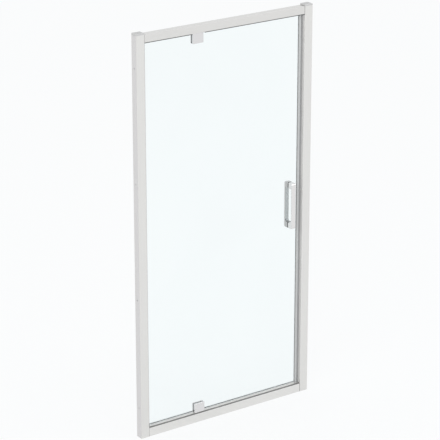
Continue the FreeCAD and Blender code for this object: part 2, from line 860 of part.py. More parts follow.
def make_back_plate(label, skirt, z, turn):
    """The clamp's back plate: its boss goes through the notch in the glass and holds the pin."""
    body = make_plate(label, IN_BACK, skirt, z, turn)
    boss = new_sketch(body, "XZ_Plane", -gasket_face)
    half_boss = size.boss_width / 2
    draw_rectangle(boss, -half_boss, 0, half_boss, size.boss_height)
    pad(body, boss, gasket_face + boss_front)
    bore = new_sketch(body, "XY_Plane")
    draw_circle(bore, 0, 0, size.pin_diameter / 2 + size.running_clearance)
    cut(body, bore, size.pin_grip + size.running_clearance, reverse=True)
    screw_holes = new_sketch(body, "XZ_Plane", -gasket_face - size.clamp_plate)
    hole_radius = size.pivot_screw_diameter / 2 + size.screw_clearance
    for x in (-pivot_screw_x, pivot_screw_x):
        draw_circle(screw_holes, x, size.pivot_screw_height, hole_radius)
    countersink(
        body,
        screw_holes,
        size.clamp_plate,
        size.pivot_screw_diameter + size.screw_clearance * 2,
        size.pivot_head_diameter + size.screw_clearance * 2,
        True,
    )
    return keep(body)


def make_clamp_gasket(label, offset, glass_edge, skirt, z, turn):
    """A gasket between plate and glass, cut out round the boss. It starts at the edge of the glass."""
    body = new_body(label, x=pivot_x, z=z, turn=turn)
    face = new_sketch(body, "XZ_Plane", offset)
    half_gasket = size.clamp_width / 2 - size.gasket_inset
    top = size.clamp_height - skirt - size.gasket_inset
    draw_outline(
        face,
        [
            (-half_gasket, glass_edge),
            (-notch_half_width, glass_edge),
            (-notch_half_width, notch_height),
            (notch_half_width, notch_height),
            (notch_half_width, glass_edge),
            (half_gasket, glass_edge),
            (half_gasket, top),
            (-half_gasket, top),
        ],
    )
    for x in (-pivot_screw_x, pivot_screw_x):
        draw_circle(face, x, size.pivot_screw_height, size.pivot_screw_diameter / 2 + size.screw_clearance)
    pad(body, face, size.gasket_thickness)
    return keep(body)


def make_pin(label, reach, z, turn):
    """The pin: gripped in the boss above height 0 and reaching down into the rail's bush."""
    radius = size.pin_diameter / 2
    bevel = size.pin_chamfer
    section = [
        (0, -reach),
        (radius - bevel, -reach),
        (radius, bevel - reach),
        (radius, size.pin_grip - bevel),
        (radius - bevel, size.pin_grip),
        (0, size.pin_grip),
    ]
    return keep(turned(label, section, x=pivot_x, z=z, turn=turn))


def make_pivot_clamps():
    """The same clamp at both ends of the pivot line, turned over at the top."""
    clamp_back = gasket_face + size.clamp_plate
    screw = countersunk_screw(
        "pivot_screw",
        size.pivot_screw_diameter,
        clamp_back + gasket_face + size.pivot_thread_depth - size.screw_clearance,
        size.pivot_head_diameter,
    )
    sleeve = turned(
        "pivot_sleeve",
        ring_section(
            size.pivot_screw_diameter / 2 + size.screw_clearance,
            size.glass_hole_diameter / 2 - size.screw_clearance,
            -glass_half,
            glass_half,
        ),
    )
    ends = (
        ("bottom", bottom_clamp_end, UPRIGHT, glass_bottom, size.sill_height, 1),
        ("top", top_clamp_end, UPSIDE_DOWN, glass_top, header_bottom, -1),
    )
    for end, z, turn, glass_end, rail_face, up in ends:
        glass_edge = (glass_end - z) * up
        rail_gap = (z - rail_face) * up
        skirt = rail_gap - size.clamp_rail_gap
        make_front_plate(f"{end}_clamp_front", skirt, z, turn)
        make_back_plate(f"{end}_clamp_back", skirt, z, turn)
        make_clamp_gasket(f"{end}_front_gasket", glass_half, glass_edge, skirt, z, turn)
        make_clamp_gasket(f"{end}_back_gasket", -gasket_face, glass_edge, skirt, z, turn)
        make_pin(f"{end}_pivot_pin", rail_gap + size.pin_reach, z, turn)
        height = z + size.pivot_screw_height * up
        screw_xs = (pivot_x - pivot_screw_x, pivot_x + pivot_screw_x)
        group(f"{end}_clamp_screws", screw, [(x, clamp_back, height) for x in screw_xs], [TO_BACK, TO_BACK])
        group(f"{end}_clamp_sleeves", sleeve, [(x, 0, height) for x in screw_xs], [TO_BACK, TO_BACK])


def make_thrust_washer():
    """Carries the leaf's weight between the bottom clamp and the sill's bush."""
    section = ring_section(
        size.pin_diameter / 2 + size.screw_clearance,
        size.thrust_washer_diameter / 2,
        -size.thrust_washer_thickness,
        0,
    )
    return keep(turned("thrust_washer", section, x=pivot_x, z=bottom_clamp_end))


def make_handle(label, turn, locked):
    """A D-shaped pull bent from flat bar, with blind holes in its feet for the studs. A locked handle has
    holes for grub screws too."""
    body = new_body(label, x=handle_x, z=handle_middle, turn=turn)
    outer_end = handle_half_spacing + size.handle_arm / 2
    inner_end = handle_half_spacing - size.handle_arm / 2
    bar_back = handle_front - size.handle_bar
    profile = new_sketch(body, "YZ_Plane")
    draw_outline(
        profile,
        [
            (-gasket_face, outer_end),
            (-handle_front, outer_end),
            (-handle_front, -outer_end),
            (-gasket_face, -outer_end),
            (-gasket_face, -inner_end),
            (-bar_back, -inner_end),
            (-bar_back, inner_end),
            (-gasket_face, inner_end),
        ],
    )
    pad(body, profile, size.handle_width, symmetric=True)
    bends = straight_edges(body, "x", y=[-handle_front], z=[-outer_end, outer_end])
    dress_edges(body, "Fillet", bends, size.handle_bend_radius)
    hollows = straight_edges(body, "x", y=[-bar_back], z=[-inner_end, inner_end])
    dress_edges(body, "Fillet", hollows, size.handle_inner_radius)
    side_faces = [-size.handle_width / 2, size.handle_width / 2]
    long_edges = straight_edges(body, "z", x=side_faces, y=[-handle_front, -bar_back])
    dress_edges(body, "Fillet", long_edges, size.handle_edge_radius)
    stud_holes = new_sketch(body, "XZ_Plane", gasket_face)
    for height in (-handle_half_spacing, handle_half_spacing):
        draw_circle(stud_holes, 0, height, size.stud_diameter / 2 + size.running_clearance)
    cut(body, stud_holes, size.stud_depth + size.screw_clearance, reverse=True)
    if locked:
        for lower_face in (-outer_end, inner_end):
            grub_hole = new_sketch(body, "XY_Plane", lower_face)
            grub_y = -gasket_face - size.grub_from_foot
            draw_circle(grub_hole, 0, grub_y, size.grub_diameter / 2 + size.running_clearance)
            cut(body, grub_hole, size.handle_arm / 2, reverse=True)
    return keep(body)


def make_handle_fixings():
    stud_end = gasket_face + size.stud_depth
    stud_radius = size.stud_diameter / 2
    bevel = size.stud_chamfer
    stud = turned(
        "handle_stud",
        [
            (0, -stud_end),
            (stud_radius - bevel, -stud_end),
            (stud_radius, bevel - stud_end),
            (stud_radius, stud_end - bevel),
            (stud_radius - bevel, stud_end),
            (0, stud_end),
        ],
    )
    bore = stud_radius + size.screw_clearance
    sleeve = turned(
        "handle_sleeve",
        ring_section(bore, size.glass_hole_diameter / 2 - size.screw_clearance, -glass_half, glass_half),
    )
    gasket = new_body("handle_gasket")
    plan = new_sketch(gasket, "XZ_Plane")
    half_wide = size.handle_width / 2 - size.gasket_inset
    half_tall = size.handle_arm / 2 - size.gasket_inset
    draw_rectangle(plan, -half_wide, -half_tall, half_wide, half_tall)
    draw_circle(plan, 0, 0, bore)
    pad(gasket, plan, size.gasket_thickness)
    grub = turned("grub_screw", ring_section(0, size.grub_diameter / 2, 0, size.grub_length))
    at_holes = [(handle_x, as_length(0), height) for height in handle_heights]
    group("handle_studs", stud, at_holes, [TO_BACK, TO_BACK])
    group("handle_sleeves", sleeve, at_holes, [TO_BACK, TO_BACK])
    group("outer_handle_gaskets", gasket, [(x, -glass_half, z) for x, _, z in at_holes])
    group("inner_handle_gaskets", gasket, [(x, gasket_face, z) for x, _, z in at_holes])
    grub_y = gasket_face + size.grub_from_foot
    grub_drop = stud_radius + size.grub_length
    group("handle_grub_screws", grub, [(x, grub_y, z - grub_drop) for x, _, z in at_holes])


# ---- seals ----


def make_edge_seal():
    """The profile on the long edge of the glass. It grips the glass and holds soft lips and a magnet."""
    body = new_body("door_edge_profile", z=size.sill_height + size.passing_gap)
    height = glass_top - size.sill_height - size.passing_gap
    wall = size.edge_profile_wall
    outer = glass_half + wall
    grip_x = glass_right - size.edge_profile_grip
    end_x = glass_right + size.edge_profile_depth
    section = new_sketch(body, "XY_Plane")
    draw_outline(
        section,
        [
            (grip_x, glass_half),
            (glass_right, glass_half),
            (glass_right, -glass_half),
            (grip_x, -glass_half),
            (grip_x, -outer),
            (end_x, -outer),
            (end_x, outer),
            (grip_x, outer),
        ],
    )
    chamber_low, chamber_high = glass_right + wall, end_x - size.magnet_skin
    chamber_half = outer - size.magnet_skin
    draw_rectangle(section, chamber_low, -chamber_half, chamber_high, chamber_half)
    pad(body, section, height)
    keep(body)
    low = size.sill_height + size.passing_gap
    lip_low = grip_x - size.edge_lip_width
    lip_outer = glass_half + size.edge_lip_thickness
    lips = document.addObject("Part::Compound", "door_edge_lips")
    lips.Label = "door_edge_lips"
    lips.Links = [
        strip("front_lip", lip_low, grip_x, -lip_outer, -glass_half, glass_bottom, glass_top),
        strip("back_lip", lip_low, grip_x, glass_half, lip_outer, glass_bottom, glass_top),
    ]
    keep(lips)
    fit = size.seat_clearance
    magnet_low, magnet_high = chamber_low + fit, chamber_high - fit
    magnet_half = chamber_half - fit
    keep(strip("door_magnet", magnet_low, magnet_high, -magnet_half, magnet_half, low, glass_top))


def make_strike():
    """The strike carrier on the stile. It holds a magnet and has a fin that the leaf closes against."""
    body = new_body("strike_carrier", z=size.sill_height)
    height = header_bottom - size.sill_height
    wall = size.edge_profile_wall
    outer = glass_half + wall
    leaf_end = glass_right + size.edge_profile_depth
    front_x = leaf_end + size.magnet_gap
    stop_x = leaf_end - size.strike_stop_lap
    stop_front = outer + size.strike_stop_gap
    section = new_sketch(body, "XY_Plane")
    draw_outline(
        section,
        [
            (front_x, -outer),
            (stile_face, -outer),
            (stile_face, stop_front + wall),
            (stop_x, stop_front + wall),
            (stop_x, stop_front),
            (front_x, stop_front),
        ],
    )
    chamber_low, chamber_high = front_x + size.magnet_skin, stile_face - wall
    chamber_half = outer - size.magnet_skin
    draw_rectangle(section, chamber_low, -chamber_half, chamber_high, chamber_half)
    pad(body, section, height)
    keep(body)
    fit = size.seat_clearance
    magnet_low, magnet_high = chamber_low + fit, chamber_high - fit
    magnet_half = chamber_half - fit
    low, high = size.sill_height, header_bottom
    keep(strip("strike_magnet", magnet_low, magnet_high, -magnet_half, magnet_half, low, high))


def make_hinge_seal():
    """The soft seal on the hinge-side stile, in front of the leaf's short side, which swings inwards."""
    body = new_body("hinge_side_seal", z=size.sill_height)
    blade_back = glass_half + size.passing_gap
    blade_front = blade_back + size.hinge_seal_thickness
    foot_front = blade_back + size.hinge_seal_foot
    blade_tip = glass_left + size.hinge_seal_lap
    foot_x = size.hinge_seal_foot_thickness - stile_face
    section = new_sketch(body, "XY_Plane")
    draw_outline(
        section,
        [
            (-stile_face, -foot_front),
            (foot_x, -foot_front),
            (foot_x, -blade_front),
            (blade_tip, -blade_front),
            (blade_tip, -blade_back),
            (-stile_face, -blade_back),
        ],
    )
    pad(body, section, header_bottom - size.sill_height)
    return keep(body)


def make_header_seal():
    """A soft strip under the header's front edge, in two lengths that leave the pivot clamp room to turn."""
    front = size.header_seal_setback - half_depth
    back = front + size.header_seal_thickness
    low = header_bottom - size.header_seal_height
    clear = size.clamp_width / 2 + size.header_seal_pivot_gap
    seal = document.addObject("Part::Compound", "header_seal")
    seal.Label = "header_seal"
    seal.Links = [
        strip("short_header_seal", -stile_face, pivot_x - clear, front, back, low, header_bottom),
        strip("long_header_seal", pivot_x + clear, stile_face, front, back, low, header_bottom),
    ]
    keep(seal)


def make_drip_seal(label, x_low, x_high):
    """One length of the drip seal: a clip on the glass's bottom edge and the soft flap under its front."""
    clip = new_body(f"{label}_drip_clip", x=x_low, z=glass_bottom)
    section = new_sketch(clip, "YZ_Plane")
    outer = glass_half + size.drip_clip_wall
    draw_outline(
        section,
        [
            (-outer, -size.drip_clip_wall),
            (outer, -size.drip_clip_wall),
            (outer, size.drip_clip_grip),
            (glass_half, size.drip_clip_grip),
            (glass_half, 0),
            (-glass_half, 0),
            (-glass_half, size.drip_clip_grip),
            (-outer, size.drip_clip_grip),
        ],
    )
    pad(clip, section, x_high - x_low)
    keep(clip)
    low = size.sill_height + size.passing_gap
    high = glass_bottom - size.drip_clip_wall
    keep(strip(f"{label}_drip_flap", x_low, x_high, -outer, size.drip_flap_thickness - outer, low, high))


# ---- the assembly ----

for side_name, side in (("hinge", HINGE_SIDE), ("strike", STRIKE_SIDE)):
    make_channel(f"{side_name}_wall_channel", side)
    make_stile(f"{side_name}_stile", side)
    make_cap(f"{side_name}_stile_cap", side)
make_header()
make_sill()
make_insert("header_pivot_insert", header_bottom + size.frame_wall)
make_insert("sill_pivot_insert", size.sill_height - size.frame_wall - size.insert_thickness)
make_bush("header_bush", size.header_flange, header_bottom, UPSIDE_DOWN)
make_bush("sill_bush", size.sill_flange, size.sill_height, UPRIGHT)
make_insert_screws(
    countersunk_screw(
        "insert_screw", size.insert_screw_diameter, size.insert_screw_length, size.insert_head_diameter
    )
)
make_corner_screws()
make_width_clamps()
make_glass()
make_pivot_clamps()
make_thrust_washer()
make_handle("outer_handle", UPRIGHT, locked=False)
make_handle("inner_handle", FACING_BACK, locked=True)
make_handle_fixings()
make_edge_seal()
make_strike()
make_hinge_seal()
make_header_seal()
clamp_room = size.clamp_width / 2 + size.drip_end_gap
make_drip_seal("short", glass_left + size.hinge_seal_lap + size.drip_end_gap, pivot_x - clamp_room)
make_drip_seal(
    "long",
    pivot_x + clamp_room,
    glass_right - size.edge_profile_grip - size.edge_lip_width - size.drip_end_gap,
)
document.recompute()

# ---- checks, then the files ----

for item in document.Objects:
    if {"Invalid", "Error"} & set(item.State):
        raise ValueError(f"{item.Label} failed: {item.State}")
for item in sub_parts:
    if item.Shape.isNull() or not item.Shape.isValid() or not item.Shape.Solids:
        raise ValueError(f"{item.Label} has no valid solid")

os.makedirs("parts", exist_ok=True)
for item in sub_parts:
    item.Shape.exportStep(f"parts/{item.Label}.step")
print(len(sub_parts), "sub-parts,", sum(len(item.Shape.Solids) for item in sub_parts), "solids")
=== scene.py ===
# %% [markdown]
# # A pivot shower door, dressed in Blender
#
# The real door is a frame of satin silver aluminium with one sheet of toughened glass. The glass turns on
# two pins, one in the header and one in the sill, and carries a pair of chrome handles and a set of soft
# seals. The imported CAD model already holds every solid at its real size, so this notebook only gives it
# finishes, remakes the soft seals and the small screws with finer shapes, and lights it.

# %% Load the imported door
import json
import math

import bmesh
import bpy
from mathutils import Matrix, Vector


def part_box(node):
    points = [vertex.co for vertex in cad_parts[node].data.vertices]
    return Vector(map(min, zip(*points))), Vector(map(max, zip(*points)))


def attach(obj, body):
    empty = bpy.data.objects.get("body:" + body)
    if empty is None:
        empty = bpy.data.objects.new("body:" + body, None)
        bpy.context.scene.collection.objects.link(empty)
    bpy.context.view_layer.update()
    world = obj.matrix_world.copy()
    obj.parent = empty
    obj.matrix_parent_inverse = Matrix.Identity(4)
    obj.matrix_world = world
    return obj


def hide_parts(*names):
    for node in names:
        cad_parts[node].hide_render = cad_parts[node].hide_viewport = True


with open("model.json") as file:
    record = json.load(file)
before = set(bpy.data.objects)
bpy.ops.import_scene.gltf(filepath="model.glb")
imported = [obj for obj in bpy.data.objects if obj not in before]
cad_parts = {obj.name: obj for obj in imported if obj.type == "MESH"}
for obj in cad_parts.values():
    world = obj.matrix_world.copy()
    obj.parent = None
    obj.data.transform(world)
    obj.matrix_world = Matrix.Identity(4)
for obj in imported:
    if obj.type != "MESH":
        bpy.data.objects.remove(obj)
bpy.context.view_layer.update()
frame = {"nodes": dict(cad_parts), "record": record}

nodes = frame["nodes"]
MM = 0.001

# %% [markdown]
# ## The camera
#
# A product picture of a tall door is taken from far away with a long lens, which keeps its uprights nearly
# parallel. The place and lens below come from matching the frame's corners in the picture, so the object is
# never moved to fit.

# %% Place the camera
CAMERA_PLACE = Vector((-5.3239, -7.5527, 4.3402))
CAMERA_LOOK = Vector((0.53988, 0.76934, -0.34153))
LENS_MM = 173.0
FILM_MM = 36.0

camera_data = bpy.data.cameras.new("long_lens")
camera_data.lens = LENS_MM
camera_data.sensor_width = FILM_MM
camera = bpy.data.objects.new("long_lens", camera_data)
camera.location = CAMERA_PLACE
camera.rotation_euler = CAMERA_LOOK.to_track_quat("-Z", "Y").to_euler()
bpy.context.scene.collection.objects.link(camera)
bpy.context.scene.camera = camera
print("camera", round(CAMERA_PLACE.length, 2), "m from the sill's middle")

# %% [markdown]
# ## Small helpers for materials
#
# Every finish below is a Principled shader with a few nodes in front of it. A node tree is easier to read
# when making a node, setting its values and joining it to another is one line each, so the helpers do just
# that.

# %% Make, set and join nodes


def add_node(tree, kind, values=None, **settings):
    """A new node with its properties and its input values set."""
    node = tree.nodes.new(kind)
    for name, value in settings.items():
        setattr(node, name, value)
    for socket, value in (values or {}).items():
        node.inputs[socket].default_value = value
    return node


def join(tree, *pairs):
    """Joins each output to its input."""
    for output, entry in pairs:
        tree.links.new(output, entry)


def new_finish(name, values):
    """A material with one Principled shader, whose constant values are set on its own sockets."""
    material = bpy.data.materials.new(name)
    material.use_nodes = True
    shader = material.node_tree.nodes["Principled BSDF"]
    for socket, value in values.items():
        shader.inputs[socket].default_value = value
    return material, shader


def rgb(red, green, blue):
    return (red, green, blue, 1.0)


# %% [markdown]
# ## Effects that several finishes share
#
# Extruded aluminium shows fine lines along its length from the die. Moulded plastic has a close, even
# grain. Anything that is handled or cleaned has faint cloudy marks, and the same clouds also serve as
# painted reflections on the glass. Each effect is a group with its own inputs, built once, so a finish only
# chooses the numbers. A group gives out colours, masks and heights, and never a shader.

# %% Start a group with named inputs and outputs


def new_group(name, inputs, outputs, kind="ShaderNodeTree"):
    """An empty group. Inputs are (name, socket type, default or None), outputs (name, socket type)."""
    tree = bpy.data.node_groups.new(name, kind)
    for title, socket_type, default in inputs:
        socket = tree.interface.new_socket(title, in_out="INPUT", socket_type=socket_type)
        if default is not None:
            socket.default_value = default
    for title, socket_type in outputs:
        tree.interface.new_socket(title, in_out="OUTPUT", socket_type=socket_type)
    entry = tree.nodes.new("NodeGroupInput").outputs
    exits = tree.nodes.new("NodeGroupOutput").inputs
    return tree, entry, exits


NUMBER, VECTOR, COLOUR = "NodeSocketFloat", "NodeSocketVector", "NodeSocketColor"


def tone(tree, mask, colour, spread):
    """The colour made lighter and darker by the spread, as the mask goes from 0 to 1."""
    centred = add_node(tree, "ShaderNodeMath", {1: 0.5}, operation="SUBTRACT")
    scaled = add_node(tree, "ShaderNodeMath", operation="MULTIPLY")
    factor = add_node(tree, "ShaderNodeMath", {1: 1.0}, operation="ADD")
    tinted = add_node(tree, "ShaderNodeVectorMath", operation="SCALE")
    join(
        tree,
        (mask, centred.inputs[0]),
        (centred.outputs[0], scaled.inputs[0]),
        (spread, scaled.inputs[1]),
        (scaled.outputs[0], factor.inputs[0]),
        (colour, tinted.inputs[0]),
        (factor.outputs[0], tinted.inputs["Scale"]),
    )
    return tinted.outputs[0]


def wander(tree, mask, middle, spread):
    """A number that wanders about its middle value by the spread, as the mask goes from 0 to 1."""
    centred = add_node(tree, "ShaderNodeMath", {1: 0.5}, operation="SUBTRACT")
    total = add_node(tree, "ShaderNodeMath", operation="MULTIPLY_ADD")
    join(
        tree,
        (mask, centred.inputs[0]),
        (centred.outputs[0], total.inputs[0]),
        (spread, total.inputs[1]),
        (middle, total.inputs[2]),
    )
    return total.outputs[0]


# %% Lines along an extrusion, grain of a mould, marks of handling


def build_streaks():
    """Fine lines: noise that is squeezed across the piece and drawn out along it."""
    tree, entry, exits = new_group(
        "die_lines",
        [
            ("Stretch", VECTOR, (900.0, 900.0, 6.0)),
            ("Colour", COLOUR, rgb(0.8, 0.8, 0.8)),
            ("Colour Spread", NUMBER, 0.06),
            ("Roughness", NUMBER, 0.35),
            ("Roughness Spread", NUMBER, 0.1),
        ],
        [("Colour", COLOUR), ("Roughness", NUMBER), ("Height", NUMBER)],
    )
    place = add_node(tree, "ShaderNodeTexCoord")
    squeeze = add_node(tree, "ShaderNodeVectorMath", operation="MULTIPLY")
    lines = add_node(tree, "ShaderNodeTexNoise", {"Scale": 1.0, "Detail": 3.0})
    join(
        tree,
        (place.outputs["Object"], squeeze.inputs[0]),
        (entry["Stretch"], squeeze.inputs[1]),
        (squeeze.outputs[0], lines.inputs["Vector"]),
        (tone(tree, lines.outputs[0], entry["Colour"], entry["Colour Spread"]), exits["Colour"]),
        (wander(tree, lines.outputs[0], entry["Roughness"], entry["Roughness Spread"]), exits["Roughness"]),
        (lines.outputs[0], exits["Height"]),
    )
    return tree


SLOW_SCALE = 45.0


def build_grain():
    """A mould's grain: a close speckle over a slow change of tone."""
    tree, entry, exits = new_group(
        "mould_grain",
        [
            ("Scale", NUMBER, 1400.0),
            ("Colour", COLOUR, rgb(0.5, 0.5, 0.5)),
            ("Colour Spread", NUMBER, 0.08),
            ("Roughness", NUMBER, 0.5),
            ("Roughness Spread", NUMBER, 0.15),
        ],
        [("Colour", COLOUR), ("Roughness", NUMBER), ("Height", NUMBER)],
    )
    place = add_node(tree, "ShaderNodeTexCoord")
    close = add_node(tree, "ShaderNodeTexNoise", {"Detail": 2.0})
    slow = add_node(tree, "ShaderNodeTexNoise", {"Scale": SLOW_SCALE, "Detail": 1.0})
    join(
        tree,
        (place.outputs["Object"], close.inputs["Vector"]),
        (place.outputs["Object"], slow.inputs["Vector"]),
        (entry["Scale"], close.inputs["Scale"]),
        (tone(tree, slow.outputs[0], entry["Colour"], entry["Colour Spread"]), exits["Colour"]),
        (wander(tree, close.outputs[0], entry["Roughness"], entry["Roughness Spread"]), exits["Roughness"]),
        (close.outputs[0], exits["Height"]),
    )
    return tree


def build_marks():
    """Faint cloudy marks from cleaning, as a mask and as a roughness. On the glass's tint they are painted
    reflections.
    """
    tree, entry, exits = new_group(
        "wiped_marks_and_reflections",
        [
            ("Scale", NUMBER, 9.0),
            ("Colour", COLOUR, rgb(0.8, 0.8, 0.8)),
            ("Colour Spread", NUMBER, 0.02),
            ("Roughness", NUMBER, 0.06),
            ("Roughness Spread", NUMBER, 0.04),
        ],
        [("Colour", COLOUR), ("Roughness", NUMBER)],
    )
    place = add_node(tree, "ShaderNodeTexCoord")
    clouds = add_node(tree, "ShaderNodeTexNoise", {"Detail": 4.0, "Distortion": 0.6})
    mask = clouds.outputs[0]
    join(
        tree,
        (place.outputs["Object"], clouds.inputs["Vector"]),
        (entry["Scale"], clouds.inputs["Scale"]),
        (tone(tree, mask, entry["Colour"], entry["Colour Spread"]), exits["Colour"]),
        (wander(tree, mask, entry["Roughness"], entry["Roughness Spread"]), exits["Roughness"]),
    )
    return tree


def build_shaded_reach():
    """A colour whose tone changes past a plane: where a point's place along the axis is past the edge."""
    tree, entry, exits = new_group(
        "shaded_reach",
        [
            ("Colour", COLOUR, rgb(0.8, 0.8, 0.8)),
            ("Axis", VECTOR, (0.0, 0.0, 1.0)),
            ("Edge", NUMBER, 0.0),
            ("Fade", NUMBER, 0.1 * MM),
            ("Tone", NUMBER, 0.5),
        ],
        [("Colour", COLOUR)],
    )
    place = add_node(tree, "ShaderNodeTexCoord")
    along = add_node(tree, "ShaderNodeVectorMath", operation="DOT_PRODUCT")
    past = add_node(tree, "ShaderNodeMath", operation="SUBTRACT")
    fade = add_node(tree, "ShaderNodeMapRange", {"From Min": 0.0, "To Min": 1.0})
    toned = add_node(tree, "ShaderNodeVectorMath", operation="SCALE")
    join(
        tree,
        (place.outputs["Object"], along.inputs[0]),
        (entry["Axis"], along.inputs[1]),
        (along.outputs["Value"], past.inputs[0]),
        (entry["Edge"], past.inputs[1]),
        (past.outputs[0], fade.inputs["Value"]),
        (entry["Fade"], fade.inputs["From Max"]),
        (entry["Tone"], fade.inputs["To Max"]),
        (entry["Colour"], toned.inputs[0]),
        (fade.outputs[0], toned.inputs["Scale"]),
        (toned.outputs[0], exits["Colour"]),
    )
    return tree


DIE_LINES = build_streaks()
MOULD_GRAIN = build_grain()
WIPED_MARKS_AND_REFLECTIONS = build_marks()
SHADED_REACH = build_shaded_reach()
print("groups:", DIE_LINES.name, MOULD_GRAIN.name, WIPED_MARKS_AND_REFLECTIONS.name, SHADED_REACH.name)

# %% Put a group in front of a material's shader


def surface(colour, colour_spread, roughness, roughness_spread):
    """The input values that every effect on a colour and a roughness shares."""
    return {
        "Colour": colour,
        "Colour Spread": colour_spread,
        "Roughness": roughness,
        "Roughness Spread": roughness_spread,
    }


def dress(material, shader, effect, values, bump_mm=0.0, bump_share=0.3):
    """Feeds the shader's colour, roughness and, if asked for, its bump from an effect group."""
    tree = material.node_tree
    group = add_node(tree, "ShaderNodeGroup", node_tree=effect)
    for socket, value in values.items():
        group.inputs[socket].default_value = value
    join(
        tree,
        (group.outputs["Colour"], shader.inputs["Base Color"]),
        (group.outputs["Roughness"], shader.inputs["Roughness"]),
    )
    if bump_mm:
        bump = add_node(tree, "ShaderNodeBump", {"Strength": bump_share, "Distance": bump_mm * MM})
        join(
            tree,
            (group.outputs["Height"], bump.inputs["Height"]),
            (bump.outputs[0], shader.inputs["Normal"]),
        )
    return material


SHARP = 0.15 * MM


def shade_past(material, axis, point, tone_share):
    """Changes a finish's tone beyond the plane that is square to an axis and passes through a point."""
    tree = material.node_tree
    axis = Vector(axis).normalized()
    entry = tree.nodes["Principled BSDF"].inputs["Base Color"]
    group = add_node(tree, "ShaderNodeGroup", node_tree=SHADED_REACH)
    for socket, value in (("Axis", axis), ("Edge", axis.dot(point)), ("Fade", SHARP), ("Tone", tone_share)):
        group.inputs[socket].default_value = value
    join(tree, (entry.links[0].from_socket, group.inputs["Colour"]), (group.outputs["Colour"], entry))


# %% [markdown]
# ## Aluminium
#
# The frame is extruded, brushed lightly and anodised: a metal that spreads its reflections and shows
# hairlines along each length. The uprights' lines run up and the rails' lines run across, so the same group
# is given two stretches. The wall channels, whose webs are the door's outer sides, keep the mill's duller,
# more uneven surface, and their colour is set darker still as painted shade on those outer sides.

# %% Aluminium finishes
ACROSS, ALONG = 900.0, 7.0
ANODISED = 0.5
UPRIGHT_LINES = (ACROSS, ACROSS, ALONG)
RAIL_LINES = (ALONG, ACROSS, ACROSS)


def aluminium(name, colour, stretch, roughness, spread):
    material, shader = new_finish(name, {"Metallic": ANODISED})
    values = {"Stretch": stretch, **surface(colour, spread, roughness, 0.12)}
    return dress(material, shader, DIE_LINES, values, bump_mm=0.02)


SATIN = rgb(0.735, 0.728, 0.712)
# The header's and the sill's satin are shaded and lit copies: painted shade on the header, painted light on
# the sill.
SATIN_HEADER_PAINTED_SHADE = rgb(0.703, 0.695, 0.681)
SATIN_SILL_PAINTED_LIGHT = rgb(0.765, 0.758, 0.742)
# The mill colour is partly the channel's own and partly painted shade on the door's outer sides.
MILL_WITH_SIDE_SHADE = rgb(0.655, 0.645, 0.645)
SATIN_ROUGHNESS, SATIN_LINES = 0.48, 0.10
MILL_ROUGHNESS, MILL_LINES = 0.44, 0.16


def satin(name, colour, stretch):
    return aluminium(name, colour, stretch, SATIN_ROUGHNESS, SATIN_LINES)


upright_aluminium = satin("satin_aluminium_upright", SATIN, UPRIGHT_LINES)
strike_aluminium_painted_light = satin("satin_aluminium_strike_painted_light", SATIN, UPRIGHT_LINES)
# The header and sill finishes carry painted shade and painted light in their colours.
header_aluminium = satin("satin_aluminium_header_painted_shade", SATIN_HEADER_PAINTED_SHADE, RAIL_LINES)
channel_aluminium = aluminium("mill_aluminium_side_shade", MILL_WITH_SIDE_SHADE, UPRIGHT_LINES, MILL_ROUGHNESS, MILL_LINES)
sill_aluminium = satin("satin_aluminium_sill_painted_light", SATIN_SILL_PAINTED_LIGHT, RAIL_LINES)
print("aluminium:", upright_aluminium.name, header_aluminium.name, sill_aluminium.name)

# %% [markdown]
# Each rail butts against the stiles, and a hairline of shadow shows where they meet. Along the front of the
# sill's top, ahead of the door, a dark strip is painted in: a painted reflection of darker surroundings
# that this scene doesn't have. The strike stile's inner face gets painted light, brighter than this scene's
# lamps make it. Polished surfaces often owe such tones to what they mirror in the room, which this scene
# doesn't have, so the tones are matched here and their cause is left open. Each is a change of tone past a
# plane, read from the piece's own coordinates, so none slides when the camera moves. The sill's plane is
# tilted: it cuts the top some way back, and the front just under its rounded edge.

# %% Paint shade at the rails' joints and on the sill's top, and light on the strike stile's inner face
HINGE_JOINT, STRIKE_JOINT = 0.4 * MM, 1.8 * MM
JOINT_TONE = 0.12
SKIN = 0.2 * MM
STRIP_DEPTH, STRIP_DROP = 12.0 * MM, 1.0 * MM
# Painted reflection: a dark strip along the front of the sill's top.
SILL_PAINTED_REFLECTION_TONE = 0.34
# Painted light: the strike stile's inner face is made brighter than the lamps make it.
INNER_FACE_PAINTED_LIGHT = 1.22

hinge_end, strike_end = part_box("sill_rail")
for rail in (header_aluminium, sill_aluminium):
    shade_past(rail, (-1.0, 0.0, 0.0), (hinge_end.x + HINGE_JOINT, 0.0, 0.0), JOINT_TONE)
    shade_past(rail, (1.0, 0.0, 0.0), (strike_end.x - STRIKE_JOINT, 0.0, 0.0), JOINT_TONE)
sill_edge = Vector((0.0, hinge_end.y, strike_end.z - STRIP_DROP))
# Painted dark reflection along the front of the sill's top.
shade_past(sill_aluminium, (0.0, -STRIP_DROP, STRIP_DEPTH), sill_edge, SILL_PAINTED_REFLECTION_TONE)
# Painted light on the strike stile's inner face.
inner_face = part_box("strike_stile")[0]
shade_past(strike_aluminium_painted_light, (-1.0, 0.0, 0.0), (inner_face.x + SKIN, 0.0, 0.0), INNER_FACE_PAINTED_LIGHT)
print("joints shaded at", round(hinge_end.x / MM, 1), "and", round(strike_end.x / MM, 1), "mm")

# %% [markdown]
# ## Chrome and steel
#
# The pivot clamps and the handles are plated: almost a mirror, with only the faintest clouding from
# cleaning. Screws and pins are turned from stainless steel, which is duller and finely lined.

# %% Chrome and steel finishes
CLEANING_CLOUDS = 14.0
TOOL_MARKS = (2500.0, 2500.0, 2500.0)


